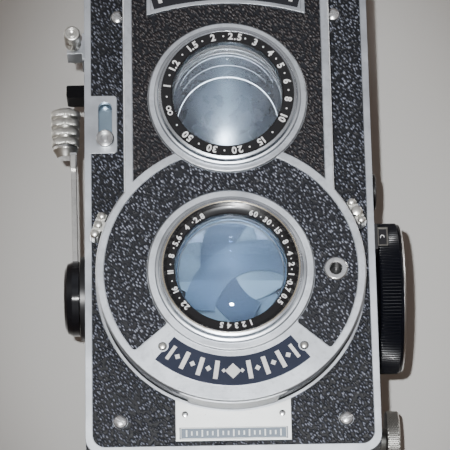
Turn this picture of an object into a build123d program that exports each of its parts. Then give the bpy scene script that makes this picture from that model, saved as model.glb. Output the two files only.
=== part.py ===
from build123d import *
import os
from math import pi, sin, cos, tan, radians, degrees, sqrt, atan2, acos, floor

# Twin lens reflex camera, 6x6 on 120 film, two 80 mm f/2.8 lenses.
# All geometry is laid out with x = 0 on the camera's centre line, y = 0 on
# the front plate's face and z = 0 on its bottom edge; every piece is then moved
# so that the origin is the centre of the tripod socket's mouth. +Z up, -Y front.

# ---- driving dimensions (mm) ----
OY, OZ = -43.0, 3.0            # move from layout to the tripod socket origin
HW = 41.0                      # half width over the side leather
WALL_X = 40.4                  # half width over the metal side walls
DEPTH = 82.0                   # front plate face to the door's inner face
DOOR_T = 4.0
TOP = 146.0                    # top of the body
ZV, ZT = 101.0, 49.8           # heights of the viewing and taking axes
FACE = -9.96                   # front face of the lens panel
RECT = 29.5                    # half width of the panel's upper part
RECT_TOP = 141.0
R_BIG = 37.7                   # panel's round lower part
R_IN = 35.5                    # leather edge inside it
R_VF, R_TF = 22.55, 23.3       # raised flanges round the lenses
R_GLASS = 15.45
SKIRT = 0.8                    # lip of the panel over its skirt
TRAVEL = 7.0                   # focusing travel
LEATHER = 0.6
CRANK_Y, CRANK_Z = 24.0, 52.0
KNOB_Y, KNOB_Z = 24.0, 50.6
GEAR_C = 58.0                  # crank axis to spool axis
SPOOL_Y = 63.0
SPOOL_Z = 52.0 + sqrt(58.0 ** 2 - 39.0 ** 2)
LOW_Y, LOW_Z = 60.0, 16.3
M_GEAR, N_CRANK, N_IDLE, N_SPOOL = 0.8, 36, 44, 21
M_RACK, N_PIN = 0.5, 12
BLADE_R, BLADE_IN, BLADE_OUT = 21.3, 12.1, 20.3
BLADE_TURN = 36.0

os.makedirs("parts", exist_ok=True)
nodes = {}


def box(x0, x1, y0, y1, z0, z1):
    return Pos((x0 + x1) / 2, (y0 + y1) / 2, (z0 + z1) / 2) * Box(x1 - x0, y1 - y0, z1 - z0)


def cyx(y, z, r, x0, x1):
    return Pos((x0 + x1) / 2, y, z) * Rot(0, 90, 0) * Cylinder(r, x1 - x0)


def cyy(x, z, r, y0, y1):
    return Pos(x, (y0 + y1) / 2, z) * Rot(90, 0, 0) * Cylinder(r, y1 - y0)


def cyz(x, y, r, z0, z1):
    return Pos(x, y, (z0 + z1) / 2) * Cylinder(r, z1 - z0)


def tube_y(x, z, ro, ri, y0, y1):
    return cyy(x, z, ro, y0, y1) - cyy(x, z, ri, y0 - 1, y1 + 1)


def face_y(sk, y0, y1):
    """Prism between y0 and y1 of a sketch drawn in x and z."""
    return extrude(Plane.XZ.offset(-y1) * sk, amount=y1 - y0)


def face_x(sk, x0, x1):
    """Prism between x0 and x1 of a sketch drawn in y and z."""
    return extrude(Plane.YZ.offset(x0) * sk, amount=x1 - x0)


def turned(x, z, pts):
    """Solid turned about the Y-parallel axis at x, z from (radius, y) points."""
    f = make_face(Polyline(*[(x + r, y, z) for r, y in pts], close=True))
    return revolve(f, Axis((x, 0, z), (0, 1, 0)), 360)


def turned_x(y, z, pts):
    """Solid turned about the X-parallel axis at y, z from (radius, x) points."""
    f = make_face(Polyline(*[(xx, y + r, z) for r, xx in pts], close=True))
    return revolve(f, Axis((0, y, z), (1, 0, 0)), 360)


def c2(x, z, r):
    return Pos(x, z) * Circle(r)


def r2(x0, x1, z0, z1):
    return Pos((x0 + x1) / 2, (z0 + z1) / 2) * Rectangle(x1 - x0, z1 - z0)


def rr2(x0, x1, z0, z1, r):
    return Pos((x0 + x1) / 2, (z0 + z1) / 2) * RectangleRounded(x1 - x0, z1 - z0, r)


def sector(cx, cz, a0, a1, r):
    """Wedge of a disc from angle a0 to a1, in degrees from +X towards +Z."""
    n = max(2, int(abs(a1 - a0) / 20) + 1)
    pts = [(cx, cz)] + [(cx + r * 1.3 * cos(radians(a0 + (a1 - a0) * i / n)),
                         cz + r * 1.3 * sin(radians(a0 + (a1 - a0) * i / n))) for i in range(n + 1)]
    return make_face(Polyline(*pts, close=True))


def arcband(cx, cz, r0, r1, a0, a1):
    return (c2(cx, cz, r1) - c2(cx, cz, r0)) & sector(cx, cz, a0, a1, r1)


def lens(x, z, r, y0, y1, s0, s1):
    """Lens element of radius r, edge from y0 to y1, front sag s0, rear sag s1."""
    def cap(ye, sg):
        R = (r * r + sg * sg) / (2 * abs(sg))
        h = r * 0.5
        d = R - sqrt(R * R - h * h)
        return h, abs(sg) - d
    es = []
    if s0 > 0:
        h, k = cap(y0, s0)
        es.append(ThreePointArc((x, y0 - s0, z), (x + h, y0 - k, z), (x + r, y0, z)))
    else:
        es.append(Line((x, y0, z), (x + r, y0, z)))
    es.append(Line((x + r, y0, z), (x + r, y1, z)))
    if s1 > 0:
        h, k = cap(y1, s1)
        es.append(ThreePointArc((x + r, y1, z), (x + h, y1 + k, z), (x, y1 + s1, z)))
    else:
        es.append(Line((x + r, y1, z), (x, y1, z)))
    es.append(Line((x, y1 + s1, z), (x, y0 - s0, z)))
    return revolve(make_face(Wire(es)), Axis((x, 0, z), (0, 1, 0)), 360)


def gear_pts(n, m, ha, hd, back, phase):
    """Involute gear outline, 20 degree pressure angle; a tooth is centred on phase."""
    r = n * m / 2
    rb = r * cos(radians(20))
    ra, rf = r + ha * m, r - hd * m
    inv = lambda a: tan(a) - a
    half = (pi * m / 2 - back) / (2 * r) + inv(radians(20))
    pts = []
    r0 = max(rb, rf + 0.02)
    for i in range(n):
        c = phase + 2 * pi * i / n
        fl = []
        for k in range(5):
            rr = r0 + (ra - r0) * k / 4
            al = acos(min(1.0, rb / rr))
            fl.append((rr, half - inv(al)))
        left = [(rf, -fl[0][1] * 1.0)] + [(a, -b) for a, b in fl]
        right = [(a, b) for a, b in reversed(fl)] + [(rf, fl[0][1])]
        for a, b in left + right:
            pts.append((a * cos(c + b), a * sin(c + b)))
    return pts


def gear_x(y, z, n, m, ha, hd, back, phase, x0, x1):
    sk = make_face(Polyline(*[(y + a, z + b) for a, b in gear_pts(n, m, ha, hd, back, phase)], close=True))
    return face_x(sk, x0, x1)


def put(name, shape):
    nodes[name] = shape


# ---- outlines of the lens panel ----
def panel_outline(d):
    """Panel outline, shrunk by d."""
    return c2(0, ZT, R_BIG - d) + rr2(-RECT + d, RECT - d, ZT, RECT_TOP - d, 2.0)


view_disc = c2(0, ZV, R_VF)
chin = sector(0, ZT, -90 - 49.7, -90 + 49.7, R_BIG)
up_leather = rr2(-27.1, 27.1, ZT, RECT_TOP - 2.4, 1.5) - c2(0, ZT, R_BIG) - view_disc
low_leather = c2(0, ZT, R_IN) - c2(0, ZT, R_TF) - view_disc - chin


def soften(sk, r):
    out = []
    for f in sk.faces():
        try:
            out.append(fillet(Sketch() + f, r) if False else fillet(f.vertices(), r))
        except Exception:
            out.append(f)
    s = Sketch()
    for f in out:
        s = s + f
    return s


# nameplate between two arcs about a centre 77.1 mm below its lower edge
NP_C, NP_R0, NP_R1 = 52.5, 77.1, 86.4
name_sk = (c2(0, NP_C, NP_R1) - c2(0, NP_C, NP_R0)) & r2(-22.6, 22.6, 110, 145)

# ---- body ----
hole = panel_outline(SKIRT - 0.3)
shell = box(-WALL_X, WALL_X, 1.7, DEPTH, 0, TOP)
shell -= box(-38.4, 38.4, 4.2, DEPTH + 1, -1.0, 143.5)
shell -= face_y(hole, 1.0, 4.6)
shell -= box(-30, 30, 12, 68, 140, TOP + 1)
# inner side walls of the film and mirror chambers, set between the floor and the top
wall_l = box(-34.4, -33.2, 10, 80, 2.0, 143.5)
wall_r = box(33.2, 34.4, 10, 80, 2.0, 143.5)
# sloping mirror seat, 45 degrees
seat = face_x(make_face(Polyline((14.5, 77.6), (16.2, 75.9), (75.0, 134.7), (75.0, 138.1), close=True)), -33.2, 33.2)
# light baffle above the film gate's cone
baffle = box(-33.2, 33.2, 17.0, 46, 75.2, 76.4)
# idler pin
wall_l += cyx(CRANK_Y + 32 * (SPOOL_Y - CRANK_Y) / GEAR_C, CRANK_Z + 32 * (SPOOL_Z - CRANK_Z) / GEAR_C, 2.0, -38.2, -34.2)
# pin for the right end of the take-up spool
wall_r += cyx(SPOOL_Y, SPOOL_Z, 2.42, 29.8, 33.5)
# bores
shell -= cyx(CRANK_Y, CRANK_Z, 5.05, -42, -38)
shell -= cyx(KNOB_Y, KNOB_Z, 5.05, 38, 42)
wall_l -= cyx(SPOOL_Y, SPOOL_Z, 4.2, -34.6, -33.0)
shell -= cyx(LOW_Y, LOW_Z, 3.08, 33.0, 42)
wall_r -= cyx(LOW_Y, LOW_Z, 3.08, 33.0, 36)
# pocket behind the slider's slot
shell -= box(-38.6, -31.4, 1.6, 3.4, 88.6, 105.2)
# roller pin holes
for z in (15.4, 84.2):
    wall_l -= cyx(75.5, z, 1.06, -34.6, -33)
    wall_r -= cyx(75.5, z, 1.06, 33, 34.6)
# screw holes in the front flange
for x, z in ((-31.3, 129.9), (31.3, 129.9), (-31.3, 9.4), (31.3, 9.4)):
    if z < 100:
        shell -= cyy(x, z, 1.25, 1, 5)
shell -= cyy(-36, 129.9, 0.5, 1, 1.2)
# door hinge lugs
for s in (-1, 1):
    lug = cyx(84.3, 1.5, 1.6, min(s * 31, s * 40), max(s * 31, s * 40)) + \
        box(min(s * 31, s * 40), max(s * 31, s * 40), 81.95, 84.3, 0.05, 2.0)
    shell += lug - cyx(84.3, 1.5, 0.9, -50, 50)
put("body_shell", Compound(children=[s for q in (shell, wall_l, wall_r, seat, baffle) for s in q.solids()]))

fp_out = rr2(-HW, HW, 0, TOP, 5.0)
fp = face_y(fp_out, 0, 1.7) - face_y(hole, -1, 3)
slot_pad = rr2(-45, -31.7, 88.2, 105.7, 1.0)
fl_sk = (rr2(-HW + 1.9, HW - 1.9, 2.2, TOP - 2.2, 3.6) - slot_pad - panel_outline(SKIRT - 1.1))
fp -= face_y(fl_sk, -1, 0.7)
fp -= face_y(rr2(-37.0, -33.1, 90.1, 103.8, 1.9), -1, 3)
for x, z in ((-31.3, 129.9), (31.3, 129.9), (-31.3, 9.4), (31.3, 9.4)):
    fp -= cyy(x, z, 1.25, -1, 3) + cyy(x, z, 2.05, -1, 0.7)
put("front_plate", fp)

fl2 = (rr2(-HW + 2.0, HW - 2.0, 2.3, TOP - 2.3, 3.5) - rr2(-45, -31.6, 88.1, 105.8, 1.05) - panel_outline(SKIRT - 1.2))
fleather = face_y(fl2, 0.15, 0.7) - box(-16.05, 16.05, -1, 2, 3.45, 15.5)
for x, z in ((-31.3, 129.9), (31.3, 129.9), (-31.3, 9.4), (31.3, 9.4)):
    fleather -= cyy(x, z, 2.1, -1, 3)
left_l = box(-HW, -WALL_X, 3.0, 80.6, 2.2, 143.8) - cyx(CRANK_Y, CRANK_Z, 12.3, -42, -40) - \
    box(-42, -40, 19.9, 28.1, 112.7, 116.7) - box(-42, -40, 3.4, 13.6, 118.2, 126.6)
right_l = box(WALL_X, HW, 3.0, 80.6, 2.2, 143.8) - cyx(KNOB_Y, KNOB_Z, 8.1, 40, 42) - cyx(LOW_Y, LOW_Z, 6.1, 40, 42)
put("body_leathers", Compound(children=list(fleather.solids()) + list(left_l.solids()) + list(right_l.solids())))

scr = []
for x, z in ((-31.3, 129.9), (31.3, 129.9), (-31.3, 9.4), (31.3, 9.4)):
    h = turned(x, z, [(0, -0.75), (1.1, -0.65), (1.75, -0.35), (2.0, 0.1), (2.0, 0.7), (1.2, 0.7),
                      (1.2, 4.0 if z < 100 else 1.69), (0, 4.0 if z < 100 else 1.69)])
    a = 35 if x < 0 else -20
    scr.append(h - Pos(x, -0.75, z) * Rot(0, a, 0) * Box(4.4, 0.7, 0.5))
put("plate_screws", Compound(children=[s for q in scr for s in q.solids()]))

lp = r2(-16, 16, 3.5, 15.4) - c2(0, ZT, R_BIG + 0.35)
put("lower_plate", face_y(lp, -0.35, 0.7))

bp = face_y(rr2(-WALL_X, WALL_X, 2, 82, 5), 0, 1)
bp = extrude(Pos(0, 0, -1.2) * (Pos(0, 42) * RectangleRounded(2 * WALL_X, 80, 5)), amount=1.2)
for x in (-32, 32):
    for y in (11, 73):
        bp += cyz(x, y, 4.0, -3.0, -1.1)
bp += box(-38.3, 38.3, 4.3, 81.9, -0.1, 2.0)
bp -= cyz(0, 43, 9.05, -4, 3)
put("base_plate", bp)
put("tripod_socket", cyz(0, 43, 9.0, -3.0, 5.0) - cyz(0, 43, 3.97, -3.5, 3.0))

# film gate and rollers
put("film_gate", box(-33.2, 33.2, 75.9, 77.4, 18.8, 80.8) - box(-28, 28, 75, 78, ZT - 28, ZT + 28))
for nm, z in (("lower_roller", 15.4), ("upper_roller", 84.2)):
    put(nm, cyx(75.5, z, 2.5, -32.9, 32.9) + cyx(75.5, z, 1.0, -34.2, 34.2))

# mirror on its seat and the ground glass under the top
mir = face_x(make_face(Polyline((15.6, 78.7), (14.2, 80.1), (69.7, 135.6), (71.1, 134.2), close=True)), -29, 29)
put("mirror", mir)
put("ground_glass", box(-32.8, 32.8, 12.0, 70, 141.5, 143.5))

# bushes of the crank, the focusing knob and the spool knob
b1 = cyx(CRANK_Y, CRANK_Z, 12.2, -43.0, -WALL_X) + cyx(CRANK_Y, CRANK_Z, 5.0, -41, -38.3) - cyx(CRANK_Y, CRANK_Z, 3.08, -44, -38)
b2 = cyx(KNOB_Y, KNOB_Z, 8.0, WALL_X, 41.7) + cyx(KNOB_Y, KNOB_Z, 5.0, 38.3, 41) - cyx(KNOB_Y, KNOB_Z, 2.08, 38, 44)
b3 = cyx(LOW_Y, LOW_Z, 6.0, WALL_X, 41.9) - cyx(LOW_Y, LOW_Z, 3.08, 38, 44)
b4 = box(41.0, 42.0, 0.5, 9.0, 58.6, 66.0) + box(41.9, 44.8, 0.5, 1.3, 59.4, 64.9) + box(41.5, 42.3, 0.5, 2, 59.4, 64.9)
# round cap on the right side
b5 = turned_x(20.0, 81.9, [(0, 41.0), (5.2, 41.0), (5.2, 42.8), (4.9, 43.1), (0, 43.1)])
put("side_fittings", Compound(children=[s for q in (b1, b2, b3, b4, b5) for s in q.solids()]))

rest = face_y(r2(-47.05, -WALL_X, 112.8, 116.6) - (r2(-47.1, -46.35, 112.7, 113.5) - c2(-46.35, 113.5, 0.7)) -
              (r2(-47.1, -46.55, 116.1, 116.7) - c2(-46.55, 116.1, 0.5)), 20.0, 28.0)
put("crank_rest", rest)
guide = box(-46.2, -WALL_X, 4.8, 11.8, 120.6, 124.8) + box(-41.75, -WALL_X, 3.5, 13.5, 118.3, 126.5)
guide -= cyy(-44.25, 122.4, 1.08, 2, 20)
put("release_guide", guide)
put("release_button", turned(-44.25, 122.4, [(0, -7.0), (1.7, -7.0), (2.4, -6.6), (2.4, -3.2), (2.1, -3.0), (2.1, -2.4),
                                             (2.4, -2.2), (2.4, 1.3), (1.0, 1.6), (1.0, 15.0), (0, 15.0)]))
put("slider_button", turned(-35.05, 92.1, [(0, -2.0), (1.2, -2.05), (2.0, -2.3), (2.6, -2.0), (2.6, -0.3), (1.7, -0.3),
                                           (1.7, 1.9), (3.0, 1.9), (3.0, 3.0), (0, 3.0)]))

# ---- lens panel ----
outer = panel_outline(0)
skirt_o, skirt_i = panel_outline(SKIRT), panel_outline(SKIRT + 1.4)
pan = face_y(outer, FACE, -8.0)
try:
    ed = [e for e in pan.edges() if abs(e.center().Y - FACE) < 1e-3]
    pan = chamfer(ed, 0.35)
except Exception:
    pass
skirt = face_y(skirt_o - skirt_i, -8.0, 8.0)
skirt += face_y(arcband(0, ZT, R_BIG - 2.0, R_BIG - 0.15, -109.5, -70.5), -8.0, -0.5)
pan += turned(0, ZV, [(17.0, -9.0), (R_VF, -9.0), (R_VF, -10.25), (R_VF - 0.3, -10.5), (17.0, -10.5)])
pan += turned(0, ZT, [(17.0, -9.0), (R_TF, -9.0), (R_TF, -10.25), (R_TF - 0.3, -10.5), (17.0, -10.5)])
pan -= face_y(soften(up_leather, 1.0) - name_sk, -12, -9.41)
pan -= face_y(name_sk, -12, -9.41)
pan -= face_y(soften(low_leather, 0.9), -12, -9.41)
pan -= cyy(0, ZV, 17.55, -12, 0)
pan -= cyy(0, ZT, 17.55, -12, 0)
pan -= cyy(29.2, 49.7, 2.65, -12, 0)
# slots in the skirt for the two setting levers
for a0, a1 in ((155.0, 207.0), (-26.0, 29.5)):
    skirt -= face_y(arcband(0, ZT, 30.0, 40.0, a0, a1), -9.0, -3.9)
for x, z in ((-19.3, 28.1), (19.8, 27.8)):
    pan -= cyy(x, z, 0.6, -12, -7)
put("lens_panel", Compound(children=list(pan.solids()) + list(skirt.solids())))

ul = soften(rr2(-26.95, 26.95, ZT, RECT_TOP - 2.55, 1.4) - c2(0, ZT, R_BIG + 0.15) - c2(0, ZV, R_VF + 0.15), 0.9)
ul = ul - ((c2(0, NP_C, NP_R1 + 0.1) - c2(0, NP_C, NP_R0 - 0.1)) & r2(-22.7, 22.7, 110, 146))
ll = soften(c2(0, ZT, R_IN - 0.15) - c2(0, ZT, R_TF + 0.15) - c2(0, ZV, R_VF + 0.15) -
            (sector(0, ZT, -90 - 50.0, -90 + 50.0, R_BIG)), 0.8)
l1 = face_y(ul, -9.8, -9.41)
l2 = face_y(ll, -9.8, -9.41) - cyy(29.2, 49.7, 3.4, -12, 0)
put("panel_leathers", Compound(children=list(l1.solids()) + list(l2.solids())))

np_in = (c2(0, NP_C, NP_R1 - 1.1) - c2(0, NP_C, NP_R0 + 1.1)) & r2(-21.5, 21.5, 110, 145)
put("nameplate", face_y(name_sk, -10.4, -9.41) - face_y(np_in, -11, -10.15))

notch = c2(-19.3, 28.1, 1.7) + c2(19.8, 27.8, 1.7)
put("badge", face_y(arcband(0, ZT, 25.0, 33.3, 230, 310) - notch, -10.5, FACE))

put("cable_socket", turned(29.2, 49.7, [(1.6, -10.3), (1.9, -10.6), (3.0, -10.6), (3.35, -10.3), (3.35, -9.41), (2.6, -9.41),
                                        (2.6, -5.5), (0, -5.5), (0, -6.3), (1.6, -6.3)]))

# viewing lens
put("view_barrel", turned(0, ZV, [(18.8, -13.3), (19.6, -13.1), (19.6, -10.5), (17.5, -10.5), (17.5, 4.8),
                                  (16.3, 4.8), (16.3, -12.25), (18.8, -12.25)]))
put("view_name_ring", turned(0, ZV, [(15.5, -13.0), (15.9, -13.5), (18.5, -13.5), (18.75, -13.2), (18.75, -12.25),
                                     (16.25, -12.25), (16.25, -10.7), (15.5, -10.7)]))
put("view_front_glass", lens(0, ZV, 16.25, -10.3, -8.3, 2.2, 1.0))
put("rear_lenses", Compound(children=list(lens(0, ZV, 16.25, 1.2, 3.0, 0.0, 1.2).solids()) +
                            list(lens(0, ZT, 12.5, 3.2, 4.6, 0.0, 1.0).solids())))

# taking lens and shutter
hs = turned(0, ZT, [(18.8, -13.3), (19.9, -13.1), (19.9, -10.5), (17.5, -10.5), (17.5, -7.9), (24.0, -7.9), (24.0, 2.0),
                    (17.0, 2.0), (17.0, 6.0), (12.6, 6.0), (12.6, 3.1), (11.8, 3.1), (11.8, 0.2), (22.9, 0.2), (22.9, -3.0),
                    (16.3, -3.0), (16.3, -12.25), (18.8, -12.25)])
for i in range(5):
    t = radians(18 + 72 * i)
    hs += cyy(BLADE_R * cos(t), ZT + BLADE_R * sin(t), 0.7, -3.1, 0.3)
put("shutter_housing", hs)
put("take_name_ring", turned(0, ZT, [(15.5, -13.0), (15.9, -13.5), (18.5, -13.5), (18.75, -13.2), (18.75, -12.25),
                                     (16.25, -12.25), (16.25, -10.7), (15.5, -10.7)]))
put("take_front_glass", lens(0, ZT, 16.25, -10.3, -8.3, 2.2, 0.6))


def blade(i):
    """One shutter blade, closed, at its own level, turning on its pin."""
    t = 18 + 72 * i
    band = (c2(0, 0, BLADE_OUT) - c2(0, 0, BLADE_IN)) & sector(0, 0, -1, 120, BLADE_OUT)
    band = band + c2(BLADE_R, 0, 1.35) + r2(BLADE_R - 3.0, BLADE_R, -0.35, 1.35)
    y0 = -2.75 + 0.55 * i
    b = face_y(band, y0, y0 + 0.25) - cyy(BLADE_R, 0, 0.76, -10, 10)
    # close: turn about the pin, inwards
    b = Pos(BLADE_R, 0, 0) * Rot(0, -BLADE_TURN, 0) * Pos(-BLADE_R, 0, 0) * b
    b = Rot(0, -t, 0) * b
    return Pos(0, 0, ZT) * b


for i in range(5):
    put("shutter_blade_%d" % (i + 1), blade(i))


def lever(ang, y0, y1, flip):
    """Setting ring round the shutter housing with an arm and a ribbed tab."""
    s = tube_y(0, 0, 26.4, 24.08, y0, y1)
    s += box(25.5, 39.4, y0, y1, -1.4, 1.4)
    tab = box(38.4, 41.0, -7.4, -2.2, -3.6, 3.6)
    for k in range(-3, 4):
        tab -= box(40.5, 41.5, -8, -1, k * 1.1 - 0.22, k * 1.1 + 0.22)
    return Pos(0, 0, ZT) * Rot(0, -ang, 0) * (s + tab)


put("aperture_lever", lever(158.5, -7.5, -6.3, False))
put("speed_lever", lever(26.0, -5.2, -4.1, True))

# focusing rack, pinion shaft and knob
rz = KNOB_Z + M_RACK * N_PIN / 2            # rack pitch line
pitch = pi * M_RACK
pts = [(8.0, rz + 4.0), (8.0, rz + 0.35)]
ha, hd, tk = 0.33, 0.45, pitch / 2 - 0.12
k0 = -3
for k in range(-3, 8):
    c = KNOB_Y + pitch / 2 + k * pitch      # a gap is centred above the pinion at rest
    wt, wr = tk / 2 - ha * tan(radians(20)), tk / 2 + hd * tan(radians(20))
    pts += [(c - wr, rz + hd), (c - wt, rz - ha), (c + wt, rz - ha), (c + wr, rz + hd)]
pts += [(37.0, rz + hd), (37.0, rz + 4.0)]
pts[1] = (8.0, rz + hd)
put("focus_rack", face_x(make_face(Polyline(*pts, close=True)), 35.2, 37.7) - box(36.0, 38, 7.0, 12.6, 40, 70))

fs = gear_x(KNOB_Y, KNOB_Z, N_PIN, M_RACK, 0.66, 1.1, 0.0, pi / 2, 35.1, 37.8) + cyx(KNOB_Y, KNOB_Z, 2.0, 37.8, 46.0)
put("focus_shaft", fs)
kn = turned_x(KNOB_Y, KNOB_Z, [(2.0, 42.2), (21.3, 42.2), (21.9, 42.8), (21.9, 48.4), (20.9, 49.6), (17.5, 49.6),
                               (16.9, 48.9), (6.0, 48.9), (5.5, 49.5), (0, 49.5), (0, 46.0), (2.0, 46.0)])
put("focus_knob", kn)

# crank, its folding grip and the gear train to the take-up spool
arm = turned_x(CRANK_Y, CRANK_Z, [(0, -48.0), (5.0, -47.9), (8.6, -47.6), (10.2, -46.8), (10.85, -45.3), (10.85, -43.3),
                                  (3.0, -43.3), (3.0, -38.0), (0, -38.0)])
arm_sk = make_face(Polyline((CRANK_Y - 3.6, CRANK_Z), (CRANK_Y + 3.6, CRANK_Z), (CRANK_Y + 2.7, 95.6), (CRANK_Y - 2.7, 95.6), close=True))
arm_side = make_face(Polyline((-45.2, 54.0), (-43.7, 54.0), (-44.4, 95.6), (-45.9, 95.6), close=True))
arm += face_y(arm_side, CRANK_Y - 4, CRANK_Y + 4) & face_x(arm_sk, -50, -40)
arm -= box(-50, -40, CRANK_Y - 2.65, CRANK_Y + 2.65, 92.6, 97)
arm -= box(-50, -40, CRANK_Y - 5, CRANK_Y + 5, 95.0, 97)
for s in (-1, 1):
    y0, y1 = sorted((CRANK_Y + s * 2.65, CRANK_Y + s * 3.9))
    arm += box(-45.9, -44.4, y0, y1, 91.4, 95.0) + box(-45.8, -44.4, min(CRANK_Y + s * 2.0, CRANK_Y + s * 3.9),
                                                      max(CRANK_Y + s * 2.0, CRANK_Y + s * 3.9), 90.6, 92.6)
arm += cyy(-45.15, 94.0, 0.5, CRANK_Y - 3.0, CRANK_Y + 3.0)
put("crank_arm", arm)
a_line = atan2(SPOOL_Z - CRANK_Z, SPOOL_Y - CRANK_Y)
put("crank_gear", gear_x(CRANK_Y, CRANK_Z, N_CRANK, M_GEAR, 0.8, 1.15, 0.16, a_line, -37.9, -35.5) +
    cyx(CRANK_Y, CRANK_Z, 4.5, -38.0, -37.9))
fork = cyy(-45.15, 94.0, 0.95, CRANK_Y - 2.5, CRANK_Y + 2.5) + box(-46.1, -44.2, CRANK_Y - 2.5, CRANK_Y + 2.5, 94.0, 96.2)
fk_p = [(0, 95.2), (2.3, 95.2), (3.0, 96.6), (3.7, 97.5), (3.7, 98.35), (1.5, 98.35), (1.5, 109.65), (2.6, 109.65), (2.6, 110.15), (0, 110.15)]
fork += revolve(make_face(Polyline(*[(-47.5 + r, CRANK_Y, zz) for r, zz in fk_p], close=True)), Axis((-47.5, CRANK_Y, 0), (0, 0, 1)), 360)
fork -= cyy(-45.15, 94.0, 0.56, CRANK_Y - 5, CRANK_Y + 5)
put("crank_fork", fork)
gp = [(1.57, 98.45), (3.3, 98.45)]
z = 98.6
for k in range(4):
    rg = 4.05 + 0.1 * k
    gp += [(rg, z + 0.15), (rg, z + 2.05)]
    if k < 3:
        gp += [(rg - 0.7, z + 2.3), (rg - 0.7, z + 2.75)]
    z += 2.9
gp += [(3.9, 109.5), (1.57, 109.5)]
gf = make_face(Polyline(*[(-47.5 + r, CRANK_Y, zz) for r, zz in gp], close=True))
put("crank_grip", revolve(gf, Axis((-47.5, CRANK_Y, 0), (0, 0, 1)), 360))

iy = CRANK_Y + 32 * (SPOOL_Y - CRANK_Y) / GEAR_C
iz = CRANK_Z + 32 * (SPOOL_Z - CRANK_Z) / GEAR_C
put("idler_gear", gear_x(iy, iz, N_IDLE, M_GEAR, 0.8, 1.15, 0.16, a_line + pi + pi / N_IDLE, -37.9, -35.5) -
    cyx(iy, iz, 2.07, -40, -30))
put("spool_gear", gear_x(SPOOL_Y, SPOOL_Z, N_SPOOL, M_GEAR, 0.8, 1.15, 0.16, a_line + pi, -37.9, -35.5) +
    cyx(SPOOL_Y, SPOOL_Z, 4.12, -35.6, -32.9) + cyx(SPOOL_Y, SPOOL_Z, 2.42, -33.0, -28.0))
ts = cyx(SPOOL_Y, SPOOL_Z, 5.5, -32.6, 32.6) + cyx(SPOOL_Y, SPOOL_Z, 12.3, -32.6, -31.8) + cyx(SPOOL_Y, SPOOL_Z, 12.3, 31.8, 32.6)
ts -= cyx(SPOOL_Y, SPOOL_Z, 2.5, -34, -27.5)
ts -= cyx(SPOOL_Y, SPOOL_Z, 2.5, 27.5, 34)
ts -= box(-12, 12, SPOOL_Y - 0.6, SPOOL_Y + 0.6, SPOOL_Z - 7, SPOOL_Z + 7)
put("take_up_spool", ts)

put("spool_knob", turned_x(LOW_Y, LOW_Z, [(0, 29.8), (3.0, 29.8), (3.0, 42.1), (4.5, 42.1), (4.5, 46.1), (8.9, 46.1), (9.5, 46.6),
                                          (9.5, 49.7), (8.9, 50.3), (0, 50.3)]))

# ---- back door ----
dr = box(-WALL_X, WALL_X, DEPTH + 0.1, DEPTH + DOOR_T, 3.6, TOP)
dr += cyx(84.3, 1.5, 1.5, -29.8, 29.8) + box(-29.8, 29.8, 83.2, 85.4, 1.5, 3.7)
dr -= cyx(84.3, 1.5, 0.96, -50, 50)
for z in (34, 66):
    dr += cyy(0, z, 3.0, 80.4, 82.2)
put("back_door", dr)
put("door_pin", cyx(84.3, 1.5, 0.9, -38.4, 38.4))
put("door_leather", box(-38.4, 38.4, 86.0, 86.6, 5.6, 143.6) - box(-8.3, 8.3, 85, 88, 129.7, 138.3))
put("pressure_plate", box(-31, 31, 79.3, 80.4, 19, 81))
put("door_latch", box(-7.9, 2.1, 86.05, 88.2, 130.2, 137.8) - box(-5.4, -0.4, 87.6, 89, 131.5, 136.5) +
    box(-4.0, -1.8, 86.8, 88.6, 131.2, 136.8))

# ---- folding hood ----
HB = TOP
HX, HL, HRh = 34.0, 0, 0
Z_L, Z_R, Z_B, Z_F = HB + 4.0, HB + 5.4, HB + 6.8, HB + 11.5    # hinge heights: left, right, rear, front
Y_F, Y_B = 8.0, 74.0
hb = box(-38.5, 38.5, 2.5, 80.5, HB, HB + 1.6) - box(-30.5, 30.5, 11.5, 68.5, HB - 1, HB + 3)
hb += box(-HX - 0.9, -HX + 0.9, 12.6, 71.6, HB + 1.5, Z_L - 0.8)
hb += box(HX - 0.9, HX + 0.9, 12.6, 71.6, HB + 1.5, Z_R - 0.8)
hb += box(-32.9, 32.9, Y_B - 0.9, Y_B + 0.9, HB + 1.5, Z_B - 0.8)
hb += box(-33.4, 33.4, Y_F - 2.4, Y_F + 0.9, HB + 1.5, Z_F - 4.0)
hb += box(-33.4, 33.4, Y_F - 2.4, Y_F - 1.2, HB + 1.5, Z_F - 0.8)
put("hood_base", hb)
H_S, H_B, H_F = 56.0, 56.0, 63.5


def side(s, zh):
    a = box(min(s * (HX - 0.45), s * (HX + 0.45)), max(s * (HX - 0.45), s * (HX + 0.45)), 12.8, 71.4, zh, zh + H_S)
    a += Pos(s * HX, 42.1, zh) * Rot(90, 0, 0) * Cylinder(0.6, 58.6)
    return a


put("hood_left", side(-1, Z_L))
put("hood_right", side(1, Z_R))
hr = box(-32.6, 32.6, Y_B - 0.45, Y_B + 0.45, Z_B, Z_B + H_B) + cyx(Y_B, Z_B, 0.6, -32.6, 32.6)
hr -= cyy(0, Z_B + 44, 4.0, 70, 78)
put("hood_rear", hr)
hf = box(-33.0, 33.0, Y_F - 0.5, Y_F + 0.5, Z_F, Z_F + H_F) + cyx(Y_F, Z_F, 0.6, -33.0, 33.0)
for s in (-1, 1):
    hf += box(min(s * 32.4, s * 33.0), max(s * 32.4, s * 33.0), Y_F, Y_F + 3.8, Z_F + 1.5, Z_F + H_F)
hf += box(-33.0, 33.0, Y_F, Y_F + 3.0, Z_F + H_F - 0.7, Z_F + H_F)
WZ0, WZ1 = Z_F + 37.0, Z_F + 57.0
hf -= box(-14, 14, 0, 20, WZ0, WZ1)
MZ = Z_F + 33.0                                # magnifier hinge height
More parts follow.
